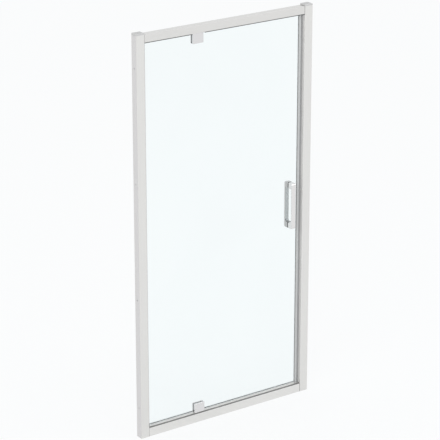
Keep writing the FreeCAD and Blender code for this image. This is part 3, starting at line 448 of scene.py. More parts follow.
def chrome(name, colour, roughness):
    material, shader = new_finish(name, {"Metallic": 1.0})
    values = {"Scale": CLEANING_CLOUDS, **surface(colour, 0.03, roughness, 0.08)}
    return dress(material, shader, WIPED_MARKS_AND_REFLECTIONS, values)


def steel(name, colour, roughness):
    material, shader = new_finish(name, {"Metallic": 1.0})
    values = {"Stretch": TOOL_MARKS, **surface(colour, 0.1, roughness, 0.15)}
    return dress(material, shader, DIE_LINES, values, bump_mm=0.01)


clamp_chrome = chrome("plated_clamp", rgb(0.745, 0.735, 0.74), 0.14)
handle_chrome = chrome("plated_handle", rgb(0.775, 0.762, 0.76), 0.12)
# A darker copy of the handle chrome: painted shade on the handle behind the glass.
shaded_chrome = chrome("plated_inner_handle_painted_shade", rgb(0.61, 0.60, 0.60), 0.15)
screw_steel = steel("turned_steel", rgb(0.62, 0.62, 0.62), 0.32)
pin_steel = steel("ground_steel", rgb(0.66, 0.66, 0.67), 0.22)
print("bright metals:", clamp_chrome.name, handle_chrome.name, shaded_chrome.name, screw_steel.name)

# %% [markdown]
# The inner handle is seen through the glass, and its front is a good deal darker than the outer handle's.
# Its chrome is a darker copy of the handle's, and the side of its bar that faces the glass gets more
# painted shade.

# %% Shade the inner handle towards the glass
HANDLE_BAR = 8.0 * MM
# Painted shade on the side of the inner handle's bar that faces the glass.
GLASS_SIDE_SHADE = 0.78

bar_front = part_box("inner_handle")[1].y - HANDLE_BAR
shade_past(shaded_chrome, (0.0, -1.0, 0.0), (0.0, bar_front + SKIN, 0.0), GLASS_SIDE_SHADE)
print("inner handle shaded up to", round(bar_front / MM, 1), "mm")

# %% [markdown]
# ## Plastics and rubbers
#
# The stile caps are moulded and metallised to match the frame. The seals are extruded from soft grey PVC,
# with a lip that is softer and duller than the body, and the two magnets are strips of black flexible
# magnet.

# %% Plastic and rubber finishes
PLASTIC_GRAIN, RUBBER_GRAIN, VINYL_GRAIN = 1400.0, 2200.0, 900.0


def plastic(name, colour, roughness, metallic=0.0):
    material, shader = new_finish(name, {"Metallic": metallic, "IOR": 1.5})
    values = {"Scale": PLASTIC_GRAIN, **surface(colour, 0.05, roughness, 0.12)}
    return dress(material, shader, MOULD_GRAIN, values, bump_mm=0.02)


def rubber(name, colour, roughness=0.75):
    material, shader = new_finish(name, {"IOR": 1.5, "Sheen Weight": 0.15, "Sheen Roughness": 0.5})
    values = {"Scale": RUBBER_GRAIN, **surface(colour, 0.18, roughness, 0.2)}
    return dress(material, shader, MOULD_GRAIN, values, bump_mm=0.03)


cap_plastic = plastic("metallised_cap", rgb(0.612, 0.610, 0.606), 0.34, metallic=0.7)
insert_nylon = plastic("black_nylon", rgb(0.055, 0.055, 0.06), 0.5)
bush_acetal = plastic("white_acetal", rgb(0.80, 0.80, 0.78), 0.4)
sleeve_nylon = plastic("natural_nylon", rgb(0.72, 0.72, 0.67), 0.45)
edge_grey = plastic("edge_profile_pvc", rgb(0.53, 0.54, 0.54), 0.32)
carrier_grey = plastic("strike_carrier_pvc", rgb(0.34, 0.34, 0.345), 0.38)
gasket_black = rubber("black_gasket", rgb(0.05, 0.05, 0.05))
lip_grey = rubber("edge_lip_pvc", rgb(0.38, 0.385, 0.385), 0.55)
seal_grey = rubber("seal_pvc", rgb(0.09, 0.093, 0.095), 0.6)
magnet_black = rubber("flexible_magnet", rgb(0.03, 0.03, 0.032), 0.65)
print("plastics and rubbers:", cap_plastic.name, edge_grey.name, lip_grey.name, seal_grey.name)

# %% [markdown]
# The caps' tops are darker than their sides, so painted shade is laid on by a change of tone just under
# the top.

# %% Shade the caps' tops
CAP_TOP_SHADE = 0.86

cap_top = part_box("hinge_stile_cap")[1]
# Painted shade on the caps' tops.
shade_past(cap_plastic, (0.0, 0.0, 1.0), (0.0, 0.0, cap_top.z - SKIN), CAP_TOP_SHADE)
print("cap tops shaded at", round(cap_top.z / MM, 1), "mm")

# %% [markdown]
# ## Clear glass and clear vinyl
#
# Toughened glass is rolled through an oven, which leaves it very slightly wavy, so what it mirrors bends a
# little. A weak bump in bands gives that. Its colour comes from iron in the glass: hardly any through the
# face, and green along the edge, where light has a long way to go. A volume that absorbs a little red does
# both at once. The pane's own tint is clouded by the same group as the chrome's, in patches as wide as an
# arm's sweep: painted reflections, lighter and darker patches that stand for what the pane mirrors.

# %% Clear finishes
GLASS_INDEX = 1.5
FACE_TINT = rgb(0.968, 0.992, 0.998)
# Painted reflections: cloudy lighter and darker patches in the pane's tint.
REFLECTION_SCALE, REFLECTION_SPREAD = 1.6, 0.04
IRON_GREEN = rgb(0.75, 0.93, 0.90)
IRON_DENSITY = 12.0
ROLLER_WAVES, WAVE_DEPTH = 3.4, 0.4 * MM

clear_glass, glass_shader = new_finish(
    "toughened_glass", {"Transmission Weight": 1.0, "IOR": GLASS_INDEX, "Roughness": 0.0}
)
glass_tree = clear_glass.node_tree
# Painted reflections clouding the glass's tint.
reflection_clouds = add_node(glass_tree, "ShaderNodeGroup", node_tree=WIPED_MARKS_AND_REFLECTIONS)
for socket, value in (("Scale", REFLECTION_SCALE), ("Colour", FACE_TINT), ("Colour Spread", REFLECTION_SPREAD)):
    reflection_clouds.inputs[socket].default_value = value
iron = add_node(glass_tree, "ShaderNodeVolumeAbsorption", {"Color": IRON_GREEN, "Density": IRON_DENSITY})
glass_place = add_node(glass_tree, "ShaderNodeTexCoord")
glass_bands = add_node(glass_tree, "ShaderNodeMapping", {"Scale": (0.5, 1.0, ROLLER_WAVES)})
roller_wave = add_node(glass_tree, "ShaderNodeTexNoise", {"Scale": 1.0, "Detail": 1.0})
glass_bump = add_node(glass_tree, "ShaderNodeBump", {"Strength": 0.2, "Distance": WAVE_DEPTH})
join(
    glass_tree,
    (glass_place.outputs["Object"], glass_bands.inputs[0]),
    (glass_bands.outputs[0], roller_wave.inputs["Vector"]),
    (roller_wave.outputs[0], glass_bump.inputs["Height"]),
    (glass_bump.outputs[0], glass_shader.inputs["Normal"]),
    (reflection_clouds.outputs["Colour"], glass_shader.inputs["Base Color"]),
    (iron.outputs[0], glass_tree.nodes["Material Output"].inputs["Volume"]),
)

# %% [markdown]
# The drip seal is taken to be a strip of two kinds of vinyl, as such seals often are: milky where it wipes
# the sill and clear where it grips the glass. A dark line of painted shade runs along the top of the clip's
# front. A plane tilted forwards picks out that lip alone.

# %% Vinyl finishes


def vinyl(name, colour, clearness):
    material, shader = new_finish(name, {"Transmission Weight": clearness, "IOR": 1.45})
    values = {"Scale": VINYL_GRAIN, **surface(colour, 0.03, 0.3, 0.1)}
    return dress(material, shader, MOULD_GRAIN, values, bump_mm=0.02)


LIP_HEIGHT = 2.3 * MM
LIP_SHADE = 0.12

flap_vinyl = vinyl("milky_vinyl", rgb(0.90, 0.91, 0.905), 0.15)
clip_vinyl = vinyl("clear_vinyl_painted_shade", rgb(0.90, 0.925, 0.92), 0.3)
clip_low, clip_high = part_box("long_drip_clip")
# Painted shade: a dark line along the top of the drip clip's front.
shade_past(clip_vinyl, (0.0, -1.0, 1.0), (0.0, clip_low.y, clip_high.z - LIP_HEIGHT), LIP_SHADE)
print("clear finishes:", clear_glass.name, flap_vinyl.name, clip_vinyl.name)

# %% [markdown]
# ## Which piece gets which finish
#
# The record names a material slot for every CAD node, and a slot is the maker's choice of stuff. The table
# below turns each slot into one of the finishes above. The rails differ from their slot, because their
# lines run across and their colours carry painted light and shade: the header is set darker and the sill
# lighter than the stiles, to even out how the lamps fall on them. The strike stile has painted light on its
# inner face, and the inner handle has painted shade.

# %% Give every CAD node its finish
SLOT_FINISH = {
    "frame_aluminium": upright_aluminium,
    "channel_aluminium": channel_aluminium,
    "stile_caps": cap_plastic,
    "steel_fasteners": screw_steel,
    "pivot_steel": pin_steel,
    "insert_nylon": insert_nylon,
    "bush_acetal": bush_acetal,
    "sleeve_nylon": sleeve_nylon,
    "gasket_rubber": gasket_black,
    "clamp_chrome": clamp_chrome,
    "handle_chrome": handle_chrome,
    "clear_glass": clear_glass,
    "edge_profile_grey": edge_grey,
    "edge_lip_rubber": lip_grey,
    "magnet_strip": magnet_black,
    "strike_carrier_grey": carrier_grey,
    "seal_rubber": seal_grey,
    "drip_clip_plastic": clip_vinyl,
    "drip_flap_vinyl": flap_vinyl,
}
NODE_FINISH = {
    "header_rail": header_aluminium,
    "sill_rail": sill_aluminium,
    "strike_stile": strike_aluminium_painted_light,
    "inner_handle": shaded_chrome,
}
node_slot = {entry["node"]: entry["material_slot"] for entry in frame["record"]["subparts"]}
for name, item in nodes.items():
    item.data.materials.clear()
    item.data.materials.append(NODE_FINISH.get(name, SLOT_FINISH[node_slot[name]]))
print("finishes on", len(nodes), "nodes")

# %% [markdown]
# ## Pieces grown by Geometry Nodes
#
# The seals and the screws are simple where the CAD model holds them: flat strips and plain heads. Up close
# a seal has a thin curved blade and a screw has a thread and a cross in its head. Both follow a rule, one
# along a line and one round an axis, so a tree with named inputs makes them. The helper below runs a tree
# on a small start mesh, keeps the result as a plain mesh, and puts it in the place of the CAD solids that
# it stands for.

# %% Run a tree and keep its mesh
GEOMETRY, MATERIAL, WHOLE_NUMBER = "NodeSocketGeometry", "NodeSocketMaterial", "NodeSocketInt"


def grow(name, tree, start_mesh, values):
    """The mesh that a tree makes of a start mesh, as a new object at the origin."""
    start = bpy.data.objects.new("start", start_mesh)
    bpy.context.scene.collection.objects.link(start)
    modifier = start.modifiers.new("grow", "NODES")
    modifier.node_group = tree
    for socket in tree.interface.items_tree:
        if socket.in_out == "INPUT" and socket.name in values:
            modifier[socket.identifier] = values[socket.name]
    evaluated = start.evaluated_get(bpy.context.evaluated_depsgraph_get())
    mesh = bpy.data.meshes.new_from_object(evaluated)
    bpy.data.objects.remove(start)
    face_outwards(mesh)
    mesh.name = name
    piece = bpy.data.objects.new(name, mesh)
    bpy.context.scene.collection.objects.link(piece)
    print(name, len(mesh.polygons), "faces")
    return piece


def face_outwards(mesh):
    """Turns every face of closed shells outwards."""
    shell = bmesh.new()
    shell.from_mesh(mesh)
    bmesh.ops.recalc_face_normals(shell, faces=shell.faces)
    shell.to_mesh(mesh)
    shell.free()


def stand_in(piece, body, slot, *solids):
    """Puts a piece on its body in the place of CAD solids."""
    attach(piece, body)
    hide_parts(*solids)


def soften(tree, shape, crease):
    """Shades a shape smooth, but for edges that turn by more than the crease. Gives its new socket."""
    turn = add_node(tree, "GeometryNodeInputMeshEdgeAngle")
    sharp = add_node(tree, "FunctionNodeCompare", operation="GREATER_THAN")
    smooth = add_node(tree, "GeometryNodeSetShadeSmooth", {"Shade Smooth": True}, domain="FACE")
    crisp = add_node(tree, "GeometryNodeSetShadeSmooth", {"Shade Smooth": False}, domain="EDGE")
    join(
        tree,
        (turn.outputs["Unsigned Angle"], sharp.inputs[0]),
        (crease, sharp.inputs[1]),
        (shape, smooth.inputs["Geometry"]),
        (smooth.outputs[0], crisp.inputs["Geometry"]),
        (sharp.outputs[0], crisp.inputs["Selection"]),
    )
    return crisp.outputs[0]


CREASE = math.radians(40.0)

# %% [markdown]
# ## Seals
#
# Every seal on this door is extruded, so its section is the same all along. It could be a curve with a
# profile, but a profile turns about its path in ways that are hard to foresee. A flat face driven straight
# out of its plane can't turn, and its points stay the real ones. Each face carries how far it runs, so that
# one tree serves strips of any length.

# %% A tree that drives a flat section along a line
WELD = 0.002 * MM


def build_extruder():
    """Flat faces driven along a direction, each by its own run, with both ends closed."""
    tree, entry, exits = new_group(
        "extruded_section",
        [
            ("Section", GEOMETRY, None),
            ("Direction", VECTOR, (0.0, 0.0, 1.0)),
            ("Crease", NUMBER, CREASE),
            ("Finish", MATERIAL, None),
        ],
        [("Strip", GEOMETRY)],
        "GeometryNodeTree",
    )
    run = add_node(tree, "GeometryNodeInputNamedAttribute", {"Name": "run"}, data_type="FLOAT")
    drive = add_node(tree, "GeometryNodeExtrudeMesh", {"Individual": False}, mode="FACES")
    near_end = add_node(tree, "GeometryNodeFlipFaces")
    strip = add_node(tree, "GeometryNodeJoinGeometry")
    weld = add_node(tree, "GeometryNodeMergeByDistance", {"Distance": WELD})
    single = add_node(tree, "GeometryNodeRealizeInstances")
    finish = add_node(tree, "GeometryNodeSetMaterial")
    join(
        tree,
        (entry["Section"], drive.inputs["Mesh"]),
        (entry["Direction"], drive.inputs["Offset"]),
        (run.outputs[0], drive.inputs["Offset Scale"]),
        (entry["Section"], near_end.inputs["Mesh"]),
        (drive.outputs["Mesh"], strip.inputs[0]),
        (near_end.outputs[0], strip.inputs[0]),
        (strip.outputs[0], weld.inputs["Geometry"]),
        (soften(tree, weld.outputs[0], entry["Crease"]), single.inputs["Geometry"]),
        (single.outputs[0], finish.inputs["Geometry"]),
        (entry["Finish"], finish.inputs["Material"]),
        (finish.outputs[0], exits["Strip"]),
    )
    return tree


EXTRUDER = build_extruder()
UPWARDS, SIDEWAYS = (0.0, 0.0, 1.0), (1.0, 0.0, 0.0)
print("tree:", EXTRUDER.name, len(EXTRUDER.nodes), "nodes")

# %% Draw a section and extrude it
BEND_STEPS = 7


def trace(start, *moves):
    """An outline in millimetres. A (corner, point) move bends round its corner, the others are straight."""
    outline = [start]
    for move in moves:
        corner, end = move if isinstance(move[0], tuple) else (None, move)
        here = outline[-1]
        for step in range(1, BEND_STEPS + 1) if corner else ():
            part = step / BEND_STEPS
            weights = ((1 - part) ** 2, 2 * part * (1 - part), part**2)
            bend = zip(here, corner, end)
            outline.append(tuple(sum(w * c for w, c in zip(weights, three)) for three in bend))
        if not corner:
            outline.append(end)
    return outline


def extrude(name, sections, direction, finish):
    """Extrudes (outline, start, run) sections. Outlines are X, Y for upright strips, Y, Z for sideways."""
    points, faces = [], []
    for outline, start, _ in sections:
        first = len(points)
        for across, along in outline:
            point = (across, along, start) if direction == UPWARDS else (start, across, along)
            points.append([value * MM for value in point])
        faces.append(range(first, len(points)))
    mesh = bpy.data.meshes.new(name)
    mesh.from_pydata(points, [], faces)
    runs = [run * MM for *_, run in sections]
    mesh.attributes.new("run", "FLOAT", "FACE").data.foreach_set("value", runs)
    return grow(name, EXTRUDER, mesh, {"Direction": direction, "Crease": CREASE, "Finish": finish})


def reach(node):
    """The lowest and highest corners of a CAD node, in millimetres."""
    return tuple(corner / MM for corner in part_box(node))


# %% [markdown]
# The hinge-side seal is a stop for the short side of the glass: a flat foot in the stile, and a blade that
# grows thin and lies against the glass. The header seal hangs as two short blades, with a gap between them
# for the pivot clamp.

# %% Hinge-side seal and header seal
FOOT_THICKNESS = 1.5
BLADE_ROOT, BLADE_TIP = 2.2, 0.8
FILLET = 1.7
SEAL_GAP = 5.0
HEADER_TIP = 0.9
LEAN = 0.3


def hinge_seal_section(low, high):
    left, front, right, back = low.x, low.y, high.x, high.y
    foot, blade, tip = left + FOOT_THICKNESS, back - BLADE_ROOT, back - BLADE_TIP
    ease = FOOT_THICKNESS / 2
    return trace(
        (left, back),
        (left, front + ease),
        ((left, front), (left + ease, front)),
        ((foot, front), (foot, front + ease)),
        (foot, blade - FILLET),
        ((foot, blade), (foot + FILLET, blade)),
        (((foot + right) / 2, blade), (right - BLADE_TIP / 2, tip)),
        ((right, tip), (right, (tip + back) / 2)),
        ((right, back), (right - BLADE_TIP / 2, back)),
    )


def header_seal_section(low, high):
    front, back, bottom, top = low.y, high.y, low.z, high.z
    middle = (front + back) / 2 + LEAN
    ease = HEADER_TIP / 2
    return trace(
        (back, top),
        (front, top),
        ((front + LEAN, bottom + 2 * ease), (middle - ease, bottom + ease)),
        ((middle - ease, bottom), (middle, bottom)),
        ((middle + ease, bottom), (middle + ease, bottom + ease)),
        ((middle + ease, top - 2 * ease), (back, top)),
    )[:-1]


seal_low, seal_high = reach("hinge_side_seal")
hinge_seal = extrude(
    "hinge_side_blade",
    [(hinge_seal_section(seal_low, seal_high), seal_low.z, seal_high.z - seal_low.z)],
    UPWARDS,
    seal_grey,
)
stand_in(hinge_seal, "frame", "seal_rubber", "hinge_side_seal")

seal_low, seal_high = reach("header_seal")
clamp_low, clamp_high = reach("top_clamp_front")
blade_section = header_seal_section(seal_low, seal_high)
header_seal = extrude(
    "header_blades",
    [
        (blade_section, seal_low.x, clamp_low.x - SEAL_GAP - seal_low.x),
        (blade_section, clamp_high.x + SEAL_GAP, seal_high.x - clamp_high.x - SEAL_GAP),
    ],
    SIDEWAYS,
    seal_grey,
)
stand_in(header_seal, "frame", "seal_rubber", "header_seal")

# %% [markdown]
# The door's own seals move with the glass. A pair of thin lips hugs the glass where the long edge profile
# ends. Under the glass, a clear clip grips its edge and carries a flap that wipes the sill.

# %% Door edge lips and drip seals
GLASS_HALF = reach("glass_panel")[1].y
AIR = 0.05
LIP_TIP = 0.35
CLIP_FLOOR = 1.2
CLIP_TIP = 0.6
CLIP_CORNER = 0.9
FLAP_TIP = 0.5


def lip_section(low, high, side):
    """One lip, thick where it leaves the profile. The side is -1 in front of the glass and 1 behind it."""
    tip, root, inner, outer = low.x, high.x, side * (GLASS_HALF + AIR), side * high.y
    end = inner + side * LIP_TIP
    return trace(
        (root, inner),
        (root, outer),
        (((tip + root) / 2, outer), (tip + LIP_TIP, end)),
        ((tip, end), (tip, inner)),
    )


def clip_section(low, high):
    """A channel open at the top, with legs that thin towards rounded tips."""
    outer, inner, bottom, top = high.y, GLASS_HALF + AIR, low.z, high.z
    floor = bottom + CLIP_FLOOR - AIR
    tip = inner + CLIP_TIP
    return trace(
        (-inner, floor),
        (-inner, top - CLIP_TIP / 2),
        ((-inner, top), (-(inner + tip) / 2, top)),
        ((-tip, top), (-tip, top - CLIP_TIP / 2)),
        ((-outer, floor), (-outer, bottom + CLIP_CORNER)),
        ((-outer, bottom), (-outer + CLIP_CORNER, bottom)),
        (outer - CLIP_CORNER, bottom),
        ((outer, bottom), (outer, bottom + CLIP_CORNER)),
        ((outer, floor), (tip, top - CLIP_TIP / 2)),
        ((tip, top), ((inner + tip) / 2, top)),
        ((inner, top), (inner, top - CLIP_TIP / 2)),
        (inner, floor),
    )


def flap_section(low, high):
    """A flap that leaves the clip thick and curves forwards to a thin tip."""
    front, back, bottom, top = low.y, high.y, low.z, high.z
    middle = (top + bottom) / 2
    return trace(
        (back, top),
        (front + CLIP_CORNER / 2, top),
        ((front + CLIP_CORNER / 2, middle), (front, bottom + FLAP_TIP)),
        ((front, bottom), (front + FLAP_TIP / 2, bottom)),
        ((front + FLAP_TIP, bottom), (front + FLAP_TIP, bottom + FLAP_TIP)),
        ((back - FLAP_TIP, middle), (back, top)),
    )[:-1]


lip_low, lip_high = reach("door_edge_lips")
lips = extrude(
    "glass_edge_lips",
    [(lip_section(lip_low, lip_high, side), lip_low.z, lip_high.z - lip_low.z) for side in (-1, 1)],
    UPWARDS,
    lip_grey,
)
stand_in(lips, "door", "edge_lip_rubber", "door_edge_lips")

for length in ("short", "long"):
    for part, section, slot in (
        ("clip", clip_section, "drip_clip_plastic"),
        ("flap", flap_section, "drip_flap_vinyl"),
    ):
        solid = f"{length}_drip_{part}"
        low, high = reach(solid)
        sections = [(section(low, high), low.x, high.x - low.x)]
        strip = extrude(f"{length}_sill_{part}", sections, SIDEWAYS, SLOT_FINISH[slot])
        stand_in(strip, "door", slot, solid)

# %% [markdown]
# ## Clamp screws
#
# Three pan head screws on the back of each stile pinch the wall channel once its width is set. One screw is
# turned from its half section. The tree then cuts the thread, which is a ridge whose height depends on how
# far round and how far along the shank a point is, cuts a cross in the head, and repeats the screw up the
# stile. No fitter leaves the crosses in line, so each screw is turned by a random angle from a fixed seed.

# %% Turn one screw
SCREW_HEAD, SCREW_HEAD_HEIGHT = 7.6, 2.4
SCREW_SHANK, SCREW_LENGTH = 4.0, 10.0
THREAD_PITCH, THREAD_DEPTH = 0.7, 0.38
THREAD_RINGS = 6
UNTHREADED = 1.0
HEAD_RIM = 0.2
NEAR = 0.001
SHANK_MARGIN = 0.01
TURN_STEPS = 32


def turned_screw():
    """A screw along Z in millimetres, head up, with its head's seat at zero."""
    shank, head = SCREW_SHANK / 2, SCREW_HEAD / 2
    threaded = SCREW_LENGTH - UNTHREADED
    rings = round(threaded / THREAD_PITCH * THREAD_RINGS)
    shank_heights = [-SCREW_LENGTH + THREAD_DEPTH + n * threaded / rings for n in range(rings)]
    half = [(0.0, -SCREW_LENGTH), (shank - THREAD_DEPTH, -SCREW_LENGTH)]
    half += [(shank, height) for height in shank_heights]
    half += [(shank, 0.0)]
    half += trace(
        (head - HEAD_RIM, 0.0),
        ((head, 0.0), (head, HEAD_RIM)),
        ((head, SCREW_HEAD_HEIGHT), (0.0, SCREW_HEAD_HEIGHT)),
    )
    screw = bmesh.new()
    corners = [screw.verts.new((radius, 0.0, height)) for radius, height in half]
    for pair in zip(corners, corners[1:]):
        screw.edges.new(pair)
    bmesh.ops.spin(
        screw,
        geom=screw.verts[:] + screw.edges[:],
        cent=(0.0, 0.0, 0.0),
        axis=(0.0, 0.0, 1.0),
        angle=math.tau,
        steps=TURN_STEPS,
        use_merge=True,
    )
    bmesh.ops.remove_doubles(screw, verts=screw.verts, dist=NEAR)
    bmesh.ops.recalc_face_normals(screw, faces=screw.faces)
    mesh = bpy.data.meshes.new("turned_screw")
    screw.to_mesh(mesh)
    screw.free()
    return mesh


print("one screw has", len(turned_screw().polygons), "faces before its thread and its cross")

# %% A tree that threads, slots and repeats the screw


def cut_thread(tree, screw, pitch, depth):
    """Draws the shank in along a helix. The groove's depth goes up and down once in each turn."""
    place = add_node(tree, "GeometryNodeInputPosition")
    parts = add_node(tree, "ShaderNodeSeparateXYZ")
    level = add_node(tree, "ShaderNodeVectorMath", {1: (1.0, 1.0, 0.0)}, operation="MULTIPLY")
    radius = add_node(tree, "ShaderNodeVectorMath", operation="LENGTH")
    outwards = add_node(tree, "ShaderNodeVectorMath", operation="NORMALIZE")
    angle = add_node(tree, "ShaderNodeMath", operation="ARCTAN2")
    turn = add_node(tree, "ShaderNodeMath", {1: math.tau}, operation="DIVIDE")
    climb = add_node(tree, "ShaderNodeMath", operation="DIVIDE")
    phase = add_node(tree, "ShaderNodeMath", operation="SUBTRACT")
    ridge = add_node(tree, "ShaderNodeMath", {1: 0.5}, operation="PINGPONG")
    groove = add_node(tree, "ShaderNodeMath", operation="MULTIPLY")
    inwards = add_node(tree, "ShaderNodeMath", {1: -2.0}, operation="MULTIPLY")
    offset = add_node(tree, "ShaderNodeVectorMath", operation="SCALE")
    below = add_node(tree, "FunctionNodeCompare", {1: -UNTHREADED}, operation="LESS_THAN")
    shank_wall = {1: SCREW_SHANK / 2 - SHANK_MARGIN}
    outside = add_node(tree, "FunctionNodeCompare", shank_wall, operation="GREATER_THAN")
    threaded = add_node(tree, "FunctionNodeBooleanMath", operation="AND")
    move = add_node(tree, "GeometryNodeSetPosition")
    join(
        tree,
        (place.outputs[0], parts.inputs[0]),
        (place.outputs[0], level.inputs[0]),
        (level.outputs[0], radius.inputs[0]),
        (level.outputs[0], outwards.inputs[0]),
        (parts.outputs["Y"], angle.inputs[0]),
        (parts.outputs["X"], angle.inputs[1]),
        (angle.outputs[0], turn.inputs[0]),
        (parts.outputs["Z"], climb.inputs[0]),
        (pitch, climb.inputs[1]),
        (climb.outputs[0], phase.inputs[0]),
        (turn.outputs[0], phase.inputs[1]),
        (phase.outputs[0], ridge.inputs[0]),
        (ridge.outputs[0], groove.inputs[0]),
        (depth, groove.inputs[1]),
        (groove.outputs[0], inwards.inputs[0]),
        (outwards.outputs[0], offset.inputs[0]),
        (inwards.outputs[0], offset.inputs["Scale"]),
        (parts.outputs["Z"], below.inputs[0]),
        (radius.outputs["Value"], outside.inputs[0]),
        (below.outputs[0], threaded.inputs[0]),
        (outside.outputs[0], threaded.inputs[1]),
        (screw, move.inputs["Geometry"]),
        (threaded.outputs[0], move.inputs["Selection"]),
        (offset.outputs[0], move.inputs["Offset"]),
    )
    return move.outputs[0]


CROSS_LENGTH, CROSS_WIDTH, CROSS_DEPTH = 4.2, 0.85, 1.5
CROSS_TAPER = 0.45
PAST_THE_HEAD = 1.1


def cut_cross(tree, screw):
    """Cuts two tapered wings, square to each other, out of the head."""
    carve = add_node(tree, "GeometryNodeMeshBoolean", operation="DIFFERENCE", solver="EXACT")
    join(tree, (screw, carve.inputs["Mesh 1"]))
    corner = math.sqrt(2.0) / 2
    for quarter in (0, 1):
        wing = add_node(
            tree,
            "GeometryNodeMeshCone",
            {"Vertices": 4, "Radius Top": corner, "Radius Bottom": corner * CROSS_TAPER, "Depth": 1.0},
        )
        squared = add_node(tree, "GeometryNodeTransform", {"Rotation": (0.0, 0.0, math.radians(45.0))})
        size = (CROSS_LENGTH, CROSS_WIDTH) if quarter else (CROSS_WIDTH, CROSS_LENGTH)
        placed = add_node(
            tree,
            "GeometryNodeTransform",
            {
                "Translation": (0.0, 0.0, SCREW_HEAD_HEIGHT - CROSS_DEPTH),
                "Scale": (*size, CROSS_DEPTH * PAST_THE_HEAD),
            },
        )
        join(
            tree,
            (wing.outputs["Mesh"], squared.inputs["Geometry"]),
            (squared.outputs[0], placed.inputs["Geometry"]),
            (placed.outputs[0], carve.inputs["Mesh 2"]),
        )
    return carve.outputs["Mesh"]


def build_screw_row():
    """A row of screws up a line, heads towards the back, each turned by a random angle."""
    tree, entry, exits = new_group(
        "screw_row",
        [
            ("Screw", GEOMETRY, None),
            ("Thread Pitch", NUMBER, THREAD_PITCH),
            ("Thread Depth", NUMBER, THREAD_DEPTH),
            ("Count", WHOLE_NUMBER, 3),
            ("First", VECTOR, (0.0, 0.0, 0.0)),
            ("Step", VECTOR, (0.0, 0.0, 0.7)),
            ("Seed", WHOLE_NUMBER, 1),
            ("Crease", NUMBER, CREASE),
            ("Finish", MATERIAL, None),
        ],
        [("Screws", GEOMETRY)],
        "GeometryNodeTree",
    )
    threaded = cut_thread(tree, entry["Screw"], entry["Thread Pitch"], entry["Thread Depth"])
    screw = soften(tree, cut_cross(tree, threaded), entry["Crease"])
    row = add_node(tree, "GeometryNodeMeshLine", mode="OFFSET")
    heads_back = (math.radians(-90.0), 0.0, 0.0)
    copies = add_node(tree, "GeometryNodeInstanceOnPoints", {"Rotation": heads_back, "Scale": (MM, MM, MM)})
    any_turn = {"Max": (0.0, 0.0, math.tau)}
    chance = add_node(tree, "FunctionNodeRandomValue", any_turn, data_type="FLOAT_VECTOR")
    spun = add_node(tree, "GeometryNodeRotateInstances", {"Local Space": True})
    single = add_node(tree, "GeometryNodeRealizeInstances")
    finish = add_node(tree, "GeometryNodeSetMaterial")
    join(
        tree,
        (entry["Count"], row.inputs["Count"]),
        (entry["First"], row.inputs["Start Location"]),
        (entry["Step"], row.inputs["Offset"]),
        (row.outputs[0], copies.inputs["Points"]),
        (screw, copies.inputs["Instance"]),
        (entry["Seed"], chance.inputs["Seed"]),
        (copies.outputs[0], spun.inputs["Instances"]),
        (chance.outputs[0], spun.inputs["Rotation"]),
        (spun.outputs[0], single.inputs["Geometry"]),
        (single.outputs[0], finish.inputs["Geometry"]),
        (entry["Finish"], finish.inputs["Material"]),
        (finish.outputs[0], exits["Screws"]),
    )
    return tree


SCREW_ROW = build_screw_row()
print("tree:", SCREW_ROW.name, len(SCREW_ROW.nodes), "nodes")

# %% Screws up both stiles
SCREWS_PER_STILE = 3

for seed, side in enumerate(("hinge", "strike"), start=1):
    solid = f"{side}_clamp_screws"
    low, high = reach(solid)
    first = Vector(((low.x + high.x) / 2, high.y - SCREW_HEAD_HEIGHT, low.z + SCREW_HEAD / 2))
    step = Vector((0.0, 0.0, (high.z - low.z - SCREW_HEAD) / (SCREWS_PER_STILE - 1)))
    values = {
        "Thread Pitch": THREAD_PITCH,
        "Thread Depth": THREAD_DEPTH,
        "Count": SCREWS_PER_STILE,
        "First": first * MM,
        "Step": step * MM,
        "Seed": seed,
        "Crease": CREASE,
        "Finish": screw_steel,
    }
    screws = grow(f"{side}_pan_screws", SCREW_ROW, turned_screw(), values)
    stand_in(screws, "frame", "steel_fasteners", solid)

# %% [markdown]
# ## The studio
#
# The floor and the air round it are one pale tone, with no horizon. Metal and glass show what is around
# them, so what the eye sees straight on is also what a mirror or a pane shows. Only the light that falls on
# the door comes from elsewhere: an even sky, a large soft lamp at the left and a small one at the right. A
# pane would show a lamp as a white patch, so lamps are hidden from rays that have passed through one.

# %% Floor and sky
PALE = rgb(0.985, 0.995, 1.0)
PALE_SHARE = 0.88
SKY_LIGHT, SKY_COLOUR = 0.90, rgb(0.97, 0.975, 0.98)
BACKDROP_COLOUR = rgb(0.963, 0.977, 0.985)


def looked_at(tree):
    """A mask: 1 for rays from the eye, a mirror or a pane, and 0 for light that falls on a surface."""
    rays = add_node(tree, "ShaderNodeLightPath")
    direct = add_node(tree, "ShaderNodeMath", operation="MAXIMUM")
    any_way = add_node(tree, "ShaderNodeMath", operation="MAXIMUM")
    join(
        tree,
        (rays.outputs["Is Camera Ray"], direct.inputs[0]),
        (rays.outputs["Is Transmission Ray"], direct.inputs[1]),
        (direct.outputs[0], any_way.inputs[0]),
        (rays.outputs["Is Glossy Ray"], any_way.inputs[1]),
    )
    return any_way.outputs[0]


FLOOR_HALF = 40.0
FLOOR_GREY = rgb(0.86, 0.865, 0.865)
ROUND_THE_FLOOR = ((-1, -1), (1, -1), (1, 1), (-1, 1))

corners = [(across * FLOOR_HALF, along * FLOOR_HALF, 0.0) for across, along in ROUND_THE_FLOOR]
floor_mesh = bpy.data.meshes.new("floor")
floor_mesh.from_pydata(corners, [], [(0, 1, 2, 3)])
floor = bpy.data.objects.new("floor", floor_mesh)
bpy.context.scene.collection.objects.link(floor)

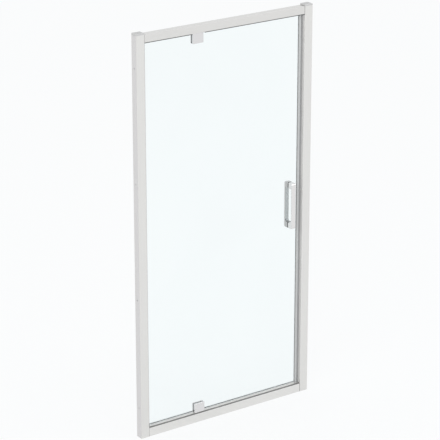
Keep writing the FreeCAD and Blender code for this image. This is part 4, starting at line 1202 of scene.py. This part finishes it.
floor_paint, floor_shader = new_finish("pale_floor", {"Base Color": FLOOR_GREY, "Roughness": 0.9})
floor_tree = floor_paint.node_tree
glow = add_node(floor_tree, "ShaderNodeEmission", {"Color": PALE, "Strength": 1.0})
share = add_node(floor_tree, "ShaderNodeMath", {1: PALE_SHARE}, operation="MULTIPLY")
blend = add_node(floor_tree, "ShaderNodeMixShader")
join(
    floor_tree,
    (looked_at(floor_tree), share.inputs[0]),
    (share.outputs[0], blend.inputs[0]),
    (floor_shader.outputs[0], blend.inputs[1]),
    (glow.outputs[0], blend.inputs[2]),
    (blend.outputs[0], floor_tree.nodes["Material Output"].inputs["Surface"]),
)
floor_mesh.materials.append(floor_paint)

world = bpy.data.worlds.new("studio")
world.use_nodes = True
sky_tree = world.node_tree
sky = sky_tree.nodes["Background"]
sky.inputs["Color"].default_value = SKY_COLOUR
sky.inputs["Strength"].default_value = SKY_LIGHT
backdrop = add_node(sky_tree, "ShaderNodeBackground", {"Color": BACKDROP_COLOUR, "Strength": 1.0})
sky_blend = add_node(sky_tree, "ShaderNodeMixShader")
join(
    sky_tree,
    (looked_at(sky_tree), sky_blend.inputs[0]),
    (sky.outputs[0], sky_blend.inputs[1]),
    (backdrop.outputs[0], sky_blend.inputs[2]),
    (sky_blend.outputs[0], sky_tree.nodes["World Output"].inputs["Surface"]),
)
bpy.context.scene.world = world
print("floor", 2 * FLOOR_HALF, "m across, sky light", SKY_LIGHT)

# %% Lamps


def softbox(name, place, aim, width, height, watts):
    """A large soft lamp that faces a point."""
    data = bpy.data.lights.new(name, "AREA")
    data.shape = "RECTANGLE"
    data.size, data.size_y = width, height
    data.energy = watts
    lamp = bpy.data.objects.new(name, data)
    lamp.location = place
    lamp.rotation_euler = (Vector(aim) - Vector(place)).to_track_quat("-Z", "Y").to_euler()
    lamp.visible_transmission = False
    bpy.context.scene.collection.objects.link(lamp)


MIDDLE = (0.0, 0.0, 1.0)
softbox("key", place=(-6.2, -4.1, 4.9), aim=MIDDLE, width=6.0, height=3.6, watts=175.0)
softbox("fill", place=(4.0, -3.2, 4.6), aim=MIDDLE, width=3.0, height=2.4, watts=36.0)
bpy.context.scene.view_settings.view_transform = "Standard"
